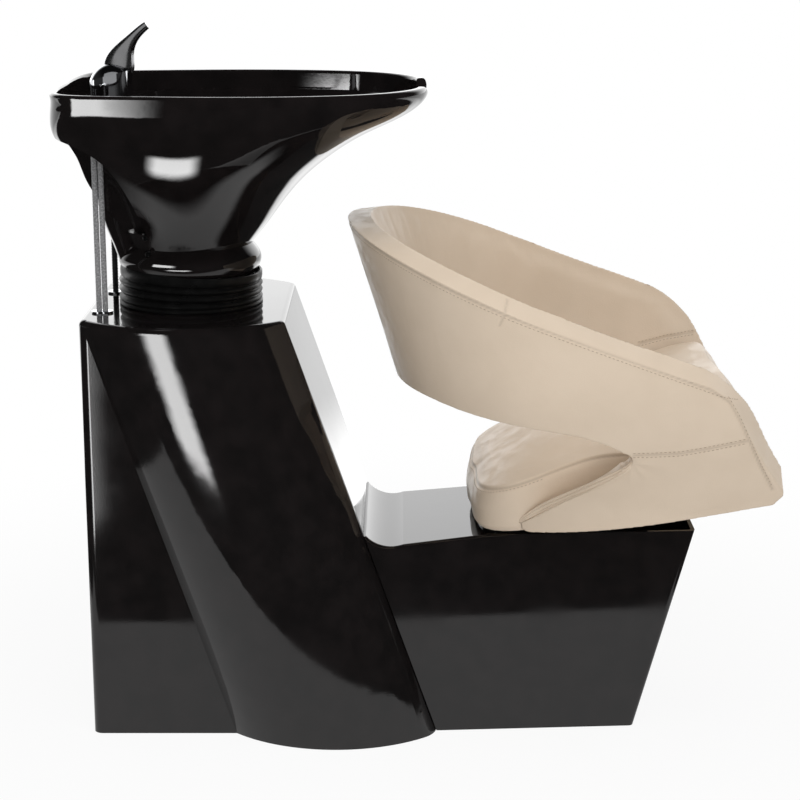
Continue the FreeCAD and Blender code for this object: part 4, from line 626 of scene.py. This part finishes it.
def swelling(form, cap):
    """What air pressure does to a coarse cloth of the form that is held along its edges."""
    held = searchable(sharp_edges(form))
    mesh = bpy.data.meshes.new("cloth")
    form.to_mesh(mesh)
    cloth = bpy.data.objects.new("cloth", mesh)
    bpy.context.collection.objects.link(cloth)
    even = cloth.modifiers.new("even", "REMESH")
    even.mode = "VOXEL"
    even.voxel_size = cloth_grain
    settle(cloth)
    before = corners_of(cloth.data)
    pins = cloth.vertex_groups.new(name="held")
    for number, place in enumerate(before):
        pins.add([number], 1.0 if held.find(place)[2] < pin_reach * cloth_grain else 0.0, "REPLACE")
    air = cloth.modifiers.new("air", "CLOTH")
    air.settings.use_pressure = True
    air.settings.uniform_pressure_force = air_pressure
    air.settings.effector_weights.gravity = 0
    air.settings.vertex_group_mass = "held"
    for step in range(1, cloth_steps + 1):
        bpy.context.scene.frame_set(step)
    settle(cloth)
    moves = corners_of(cloth.data) - before
    bpy.context.scene.frame_set(1)
    bpy.data.objects.remove(cloth)
    length = np.linalg.norm(moves, axis=1, keepdims=True)
    return before, moves * np.minimum(1, cap / np.maximum(length, move_least))


def upholstered(name, node, cap):
    """The solid's form in an even mesh with its edges kept, drawn in a little, swollen by up to the cap."""
    form = bmesh.new()
    form.from_mesh(solids[node].data)
    bmesh.ops.remove_doubles(form, verts=form.verts, dist=form_weld)
    coarse, moves = swelling(form, cap)
    piece = new_piece(name, form, leather)
    even = piece.modifiers.new("even", "REMESH")
    even.mode = "SHARP"
    even.octree_depth = form_depth
    draw_in = piece.modifiers.new("slim", "DISPLACE")
    draw_in.mid_level = 0
    draw_in.strength = -leather_inset
    settle(piece)
    spots = searchable(coarse)
    places = corners_of(piece.data)
    near = [spots.find_n(place, near_count) for place in places]
    share = np.array([[1 / (far + near_least) for spot, number, far in found] for found in near])
    picked = np.array([[number for spot, number, far in found] for found in near])
    share /= share.sum(axis=1, keepdims=True)
    places += (moves[picked] * share[:, :, None]).sum(axis=1)
    piece.data.vertices.foreach_set("co", places.ravel())
    ease = piece.modifiers.new("ease", "SMOOTH")
    ease.factor, ease.iterations = 0.5, 4
    settle(piece)
    piece.data.materials.clear()
    piece.data.materials.append(leather)
    for face in piece.data.polygons:
        face.use_smooth = True
    return piece


def press(piece, depth):
    """Draws the leather in along its seams, and notes there how deep it goes, for the painted shade in the
    grooves.
    """
    places = corners_of(piece.data)
    piece.data.vertices.foreach_set("co", (places - normals_of(piece.data) * depth[:, None]).ravel())
    # The depth note is what the leather reads for its painted shade in the seams.
    seam = piece.data.attributes.new("seam", "FLOAT", "POINT")
    seam.data.foreach_set("value", np.clip(depth / darkest_depth, 0, 1))
    piece.data.update()


def off_line(places, line):
    """The distance in the side view from each place to a line of x and z points."""
    best = np.full(len(places), np.inf)
    for (x0, z0), (x1, z1) in zip(line, line[1:]):
        run = np.array((x1 - x0, z1 - z0))
        rel = places[:, (0, 2)] - (x0, z0)
        share = np.clip(rel @ run / (run @ run), 0, 1)
        best = np.minimum(best, np.linalg.norm(rel - share[:, None] * run, axis=1))
    return best


def groove(distance, depth):
    """How deep the leather lies at a distance from a seam."""
    return depth * np.exp(-(distance / seam_width) ** 2)


tub_swell, tub_centre_x = 0.004, 0.1625
rim_seam_height, rim_seam_slope, rim_seam_end = 0.7431, -0.366, 0.404
front_seam = ((0.404, 0.5953), (0.4314, 0.5771), (0.4471, 0.5508), (0.4640, 0.5158), (0.4840, 0.4748),
              (0.5052, 0.4364))
side_seam = ((0.3030, 0.4950), (0.3247, 0.4956), (0.3668, 0.4980), (0.4085, 0.5059), (0.4604, 0.5174))
inner_seam = ((0.3795, 0.520), (0.4260, 0.532), (0.4725, 0.539))
rim_depth, side_depth, inner_depth = 0.0014, 0.0012, 0.0011
side_wall_y, outward_share, inward_share = 0.2, 0.35, 0.3
cross_low, cross_high = np.array((0.1138, 0.3359, 0.6948)), np.array((0.1216, 0.3122, 0.7153))
cross_face, cross_reach, cross_lowest_face = (0.25, 0.65, 0.72), 0.024, -0.2
notch_tip = np.array((0.3005, 0.3115, 0.4830))
puckers, pucker_height, pucker_start, pucker_reach, pucker_top = 9, 0.0014, 0.010, 0.030, 0.012

tub = upholstered("seat_tub_leather", "seat_tub", cap=tub_swell)
places, normals = corners_of(tub.data), normals_of(tub.data)
mirrored = np.column_stack((places[:, 0], np.abs(places[:, 1]), places[:, 2]))
from_centre = places[:, :2] - (tub_centre_x, 0)
outward = (normals[:, :2] * from_centre).sum(axis=1) > outward_share * np.linalg.norm(from_centre, axis=1)
on_side = outward & (mirrored[:, 1] > side_wall_y)
towards_middle = normals[:, 1] * np.sign(places[:, 1]) < -inward_share
on_inside = ~outward & (mirrored[:, 1] > side_wall_y) & towards_middle
above = places[:, 2] - (rim_seam_height + rim_seam_slope * places[:, 0])
depth = groove(above, rim_depth) * outward * (places[:, 0] < rim_seam_end)
for line, seam_depth, where in ((front_seam, rim_depth, on_side), (side_seam, side_depth, on_side),
                                (inner_seam, inner_depth, on_inside)):
    depth = np.maximum(depth, groove(off_line(places, line), seam_depth) * where)
cross_way = (cross_high - cross_low) / np.linalg.norm(cross_high - cross_low)
cross_side = np.cross(cross_way, cross_face)
from_middle = mirrored - (cross_low + cross_high) / 2
on_cross = (np.linalg.norm(from_middle, axis=1) < cross_reach) & (normals[:, 2] > cross_lowest_face)
off_cross = from_middle @ (cross_side / np.linalg.norm(cross_side))
depth = np.maximum(depth, groove(off_cross, inner_depth) * on_cross)
press(tub, depth)
from_tip = mirrored - notch_tip
turn = np.arctan2(from_tip[:, 2], from_tip[:, 0])
reach = np.linalg.norm(from_tip, axis=1)
pucker = np.sin(puckers * turn) * np.exp(-reach / pucker_reach) * np.clip(reach / pucker_start, 0, 1)
pucker *= (from_tip[:, 2] < pucker_top) * on_side
puckered = corners_of(tub.data) - normals * (pucker_height * pucker)[:, None]
tub.data.vertices.foreach_set("co", puckered.ravel())
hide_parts("seat_tub")
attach(tub, "stand")

# Seat cushion: a wedge of foam on the plywood board, in the same leather, with one seam all round its
# edge. It fills the tub's floor and rises to the front.

cushion_swell, cushion_centre_x = 0.003, 0.199
cushion_seam_height, cushion_seam_slope, cushion_depth, flat_face = 0.3550, 0.376, 0.0014, 0.85

cushion = upholstered("seat_cushion_leather", "seat_cushion", cap=cushion_swell)
places, normals = corners_of(cushion.data), normals_of(cushion.data)
above = places[:, 2] - (cushion_seam_height + cushion_seam_slope * places[:, 0])
press(cushion, groove(above, cushion_depth) * (np.abs(normals[:, 2]) < flat_face))
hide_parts("seat_cushion")
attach(cushion, "stand")

# Stitches: short runs of waxed thread beside each seam, in a beige a little darker than the leather.
# They are sewn through the leather before it is drawn over the foam, so they lie half sunk in it.

thread = new_finish("beige thread", colour=(0.42, 0.33, 0.24), roughness=0.7)
tint(thread, clouds(thread, scale=700), dark=(0.34, 0.26, 0.18), light=(0.5, 0.4, 0.3))
relief(thread, clouds(thread, scale=2500), height=0.0001, strength=0.5)
stitch_length, stitch_radius, stitch_pitch, stitch_stand, seam_break = 0.0042, 0.00045, 0.0062, 0.4, 0.03
rim_offset, side_offset, cushion_offset = 0.0045, 0.0035, 0.004


def landed(tree, starts, ways):
    """Where lines from the starts first meet a surface."""
    found = []
    for start, way in zip(starts, ways):
        spot, normal = tree.ray_cast(Vector(start), Vector(way).normalized())[:2]
        if spot:
            found.append((spot, normal))
    return found


def stitched(form, line):
    """Stitches laid end to end along a line of places and normals, which may have breaks."""
    spare = 0.0
    for (first, normal), (second, _) in zip(line, line[1:]):
        way = second - first
        gap = way.length
        if gap < weld or gap > seam_break:
            continue
        while spare < gap:
            spot = first + way * (spare / gap)
            turn = way.to_track_quat("X", "Z").to_matrix().to_4x4()
            size = Matrix.Diagonal((stitch_length / 2, stitch_radius, stitch_radius, 1))
            at = Matrix.Translation(spot + normal * (stitch_radius * stitch_stand)) @ turn @ size
            bmesh.ops.create_icosphere(form, subdivisions=1, radius=1, matrix=at)
            spare += stitch_pitch
        spare -= gap


def along(line, count):
    """Places spread evenly over a line of x and z points."""
    xs = np.interp(np.linspace(0, len(line) - 1, count), range(len(line)), [point[0] for point in line])
    zs = np.interp(np.linspace(0, len(line) - 1, count), range(len(line)), [point[1] for point in line])
    return list(zip(xs, zs))


def inwards(centre_x, height, slope, offset, first, last, count, distance):
    """Lines that look in from all round at a seam that lies in one slanting plane."""
    ways = [(-math.cos(turn), -math.sin(turn), -slope * math.cos(turn))
            for turn in np.linspace(math.radians(first), math.radians(last), count)]
    middle = np.array((centre_x, 0, height - offset + slope * centre_x))
    return [middle - distance * np.array(way) for way in ways], ways


def sideways(line, offset, count, start_y, hand):
    """Lines that look across the seat, one way or the other, at a seam of its sides."""
    starts = [(x, start_y, z + offset) for x, z in along(line, count)]
    return starts, [(0, hand, 0)] * count


def sewing(name, piece, routes):
    """One object with all the stitches on a padded piece."""
    tree = BVHTree.FromObject(piece, bpy.context.evaluated_depsgraph_get())
    form = bmesh.new()
    for starts, ways in routes:
        run = bmesh.new()
        stitched(run, landed(tree, starts, ways))
        sewn = bpy.data.meshes.new("run")
        run.to_mesh(sewn)
        run.free()
        form.from_mesh(sewn)
        bpy.data.meshes.remove(sewn)
    for face in form.faces:
        face.smooth = True
    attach(new_piece(name, form, thread), "stand")


routes = [inwards(tub_centre_x, rim_seam_height, rim_seam_slope, rim_offset,
                  first=48, last=312, count=360, distance=0.6)]
for hand in (-1, 1):
    for line, offset in ((front_seam[1:], rim_offset), (side_seam, side_offset), (side_seam, -side_offset)):
        routes.append(sideways(line, offset, count=80, start_y=hand * 0.6, hand=-hand))
    for offset in (side_offset, -side_offset):
        routes.append(sideways(inner_seam, offset, count=30, start_y=0, hand=hand))
sewing("tub_stitches", tub, routes)

cushion_route = inwards(cushion_centre_x, cushion_seam_height, cushion_seam_slope, cushion_offset,
                        first=95, last=265, count=260, distance=0.5)
sewing("cushion_stitches", cushion, [cushion_route])

# Hem of the side cut-out: the two leathers are folded together and sewn through, a thick uneven lip
# that runs from the notch's tip down to the cushion's corner.

hem_route = ((0.3035, 0.3120, 0.4840), (0.2975, 0.3110, 0.4745), (0.2820, 0.3010, 0.4610),
             (0.2630, 0.2870, 0.4460), (0.2410, 0.2650, 0.4280), (0.2210, 0.2450, 0.4130),
             (0.1990, 0.2240, 0.3960), (0.1780, 0.2050, 0.3790), (0.1600, 0.1950, 0.3640),
             (0.1500, 0.1850, 0.3540))
hem_rolls = ((0.0, 0.0, 0.0030), (-0.0022, 0.0042, 0.0026), (0.0018, -0.0042, 0.0026))
roll_lean, roll_lift = 0.6, 0.8
end_share, end_growth = 0.35, 0.3
wave_height, wave_step, wave_shift = 0.0007, 2.1, 1.7


def hem_roll(hand, number, shift, lift, radius):
    """One roll of the lip, thin at both ends, as a mesh."""
    curve = bpy.data.curves.new("hem", "CURVE")
    curve.dimensions = "3D"
    curve.bevel_depth = radius
    curve.bevel_resolution = 2
    curve.use_fill_caps = True
    spline = curve.splines.new("NURBS")
    spline.points.add(len(hem_route) - 1)
    for step, (point, (x, y, z)) in enumerate(zip(spline.points, hem_route)):
        wave = wave_height * math.sin(wave_step * step + wave_shift * number)
        from_end = min(step, len(hem_route) - 1 - step)
        taper = min(1.0, end_share + end_growth * from_end)
        point.radius = taper
        point.co = (x + shift * roll_lean * taper, hand * (y + shift * taper + wave),
                    z + lift * roll_lift * taper + wave, 1)
    spline.order_u = 3
    spline.use_endpoint_u = True
    spline.resolution_u = 8
    roll = bpy.data.objects.new("hem", curve)
    bpy.context.collection.objects.link(roll)
    mesh = bpy.data.meshes.new_from_object(roll.evaluated_get(bpy.context.evaluated_depsgraph_get()))
    bpy.data.objects.remove(roll)
    return mesh


for name, hand in (("tub_hem_near", -1), ("tub_hem_far", 1)):
    form = bmesh.new()
    for number, (shift, lift, radius) in enumerate(hem_rolls):
        form.from_mesh(hem_roll(hand, number, shift, lift, radius))
    bmesh.ops.remove_doubles(form, verts=form.verts, dist=weld)
    bmesh.ops.recalc_face_normals(form, faces=form.faces)
    for face in form.faces:
        face.smooth = True
    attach(new_piece(name, form, leather), "stand")
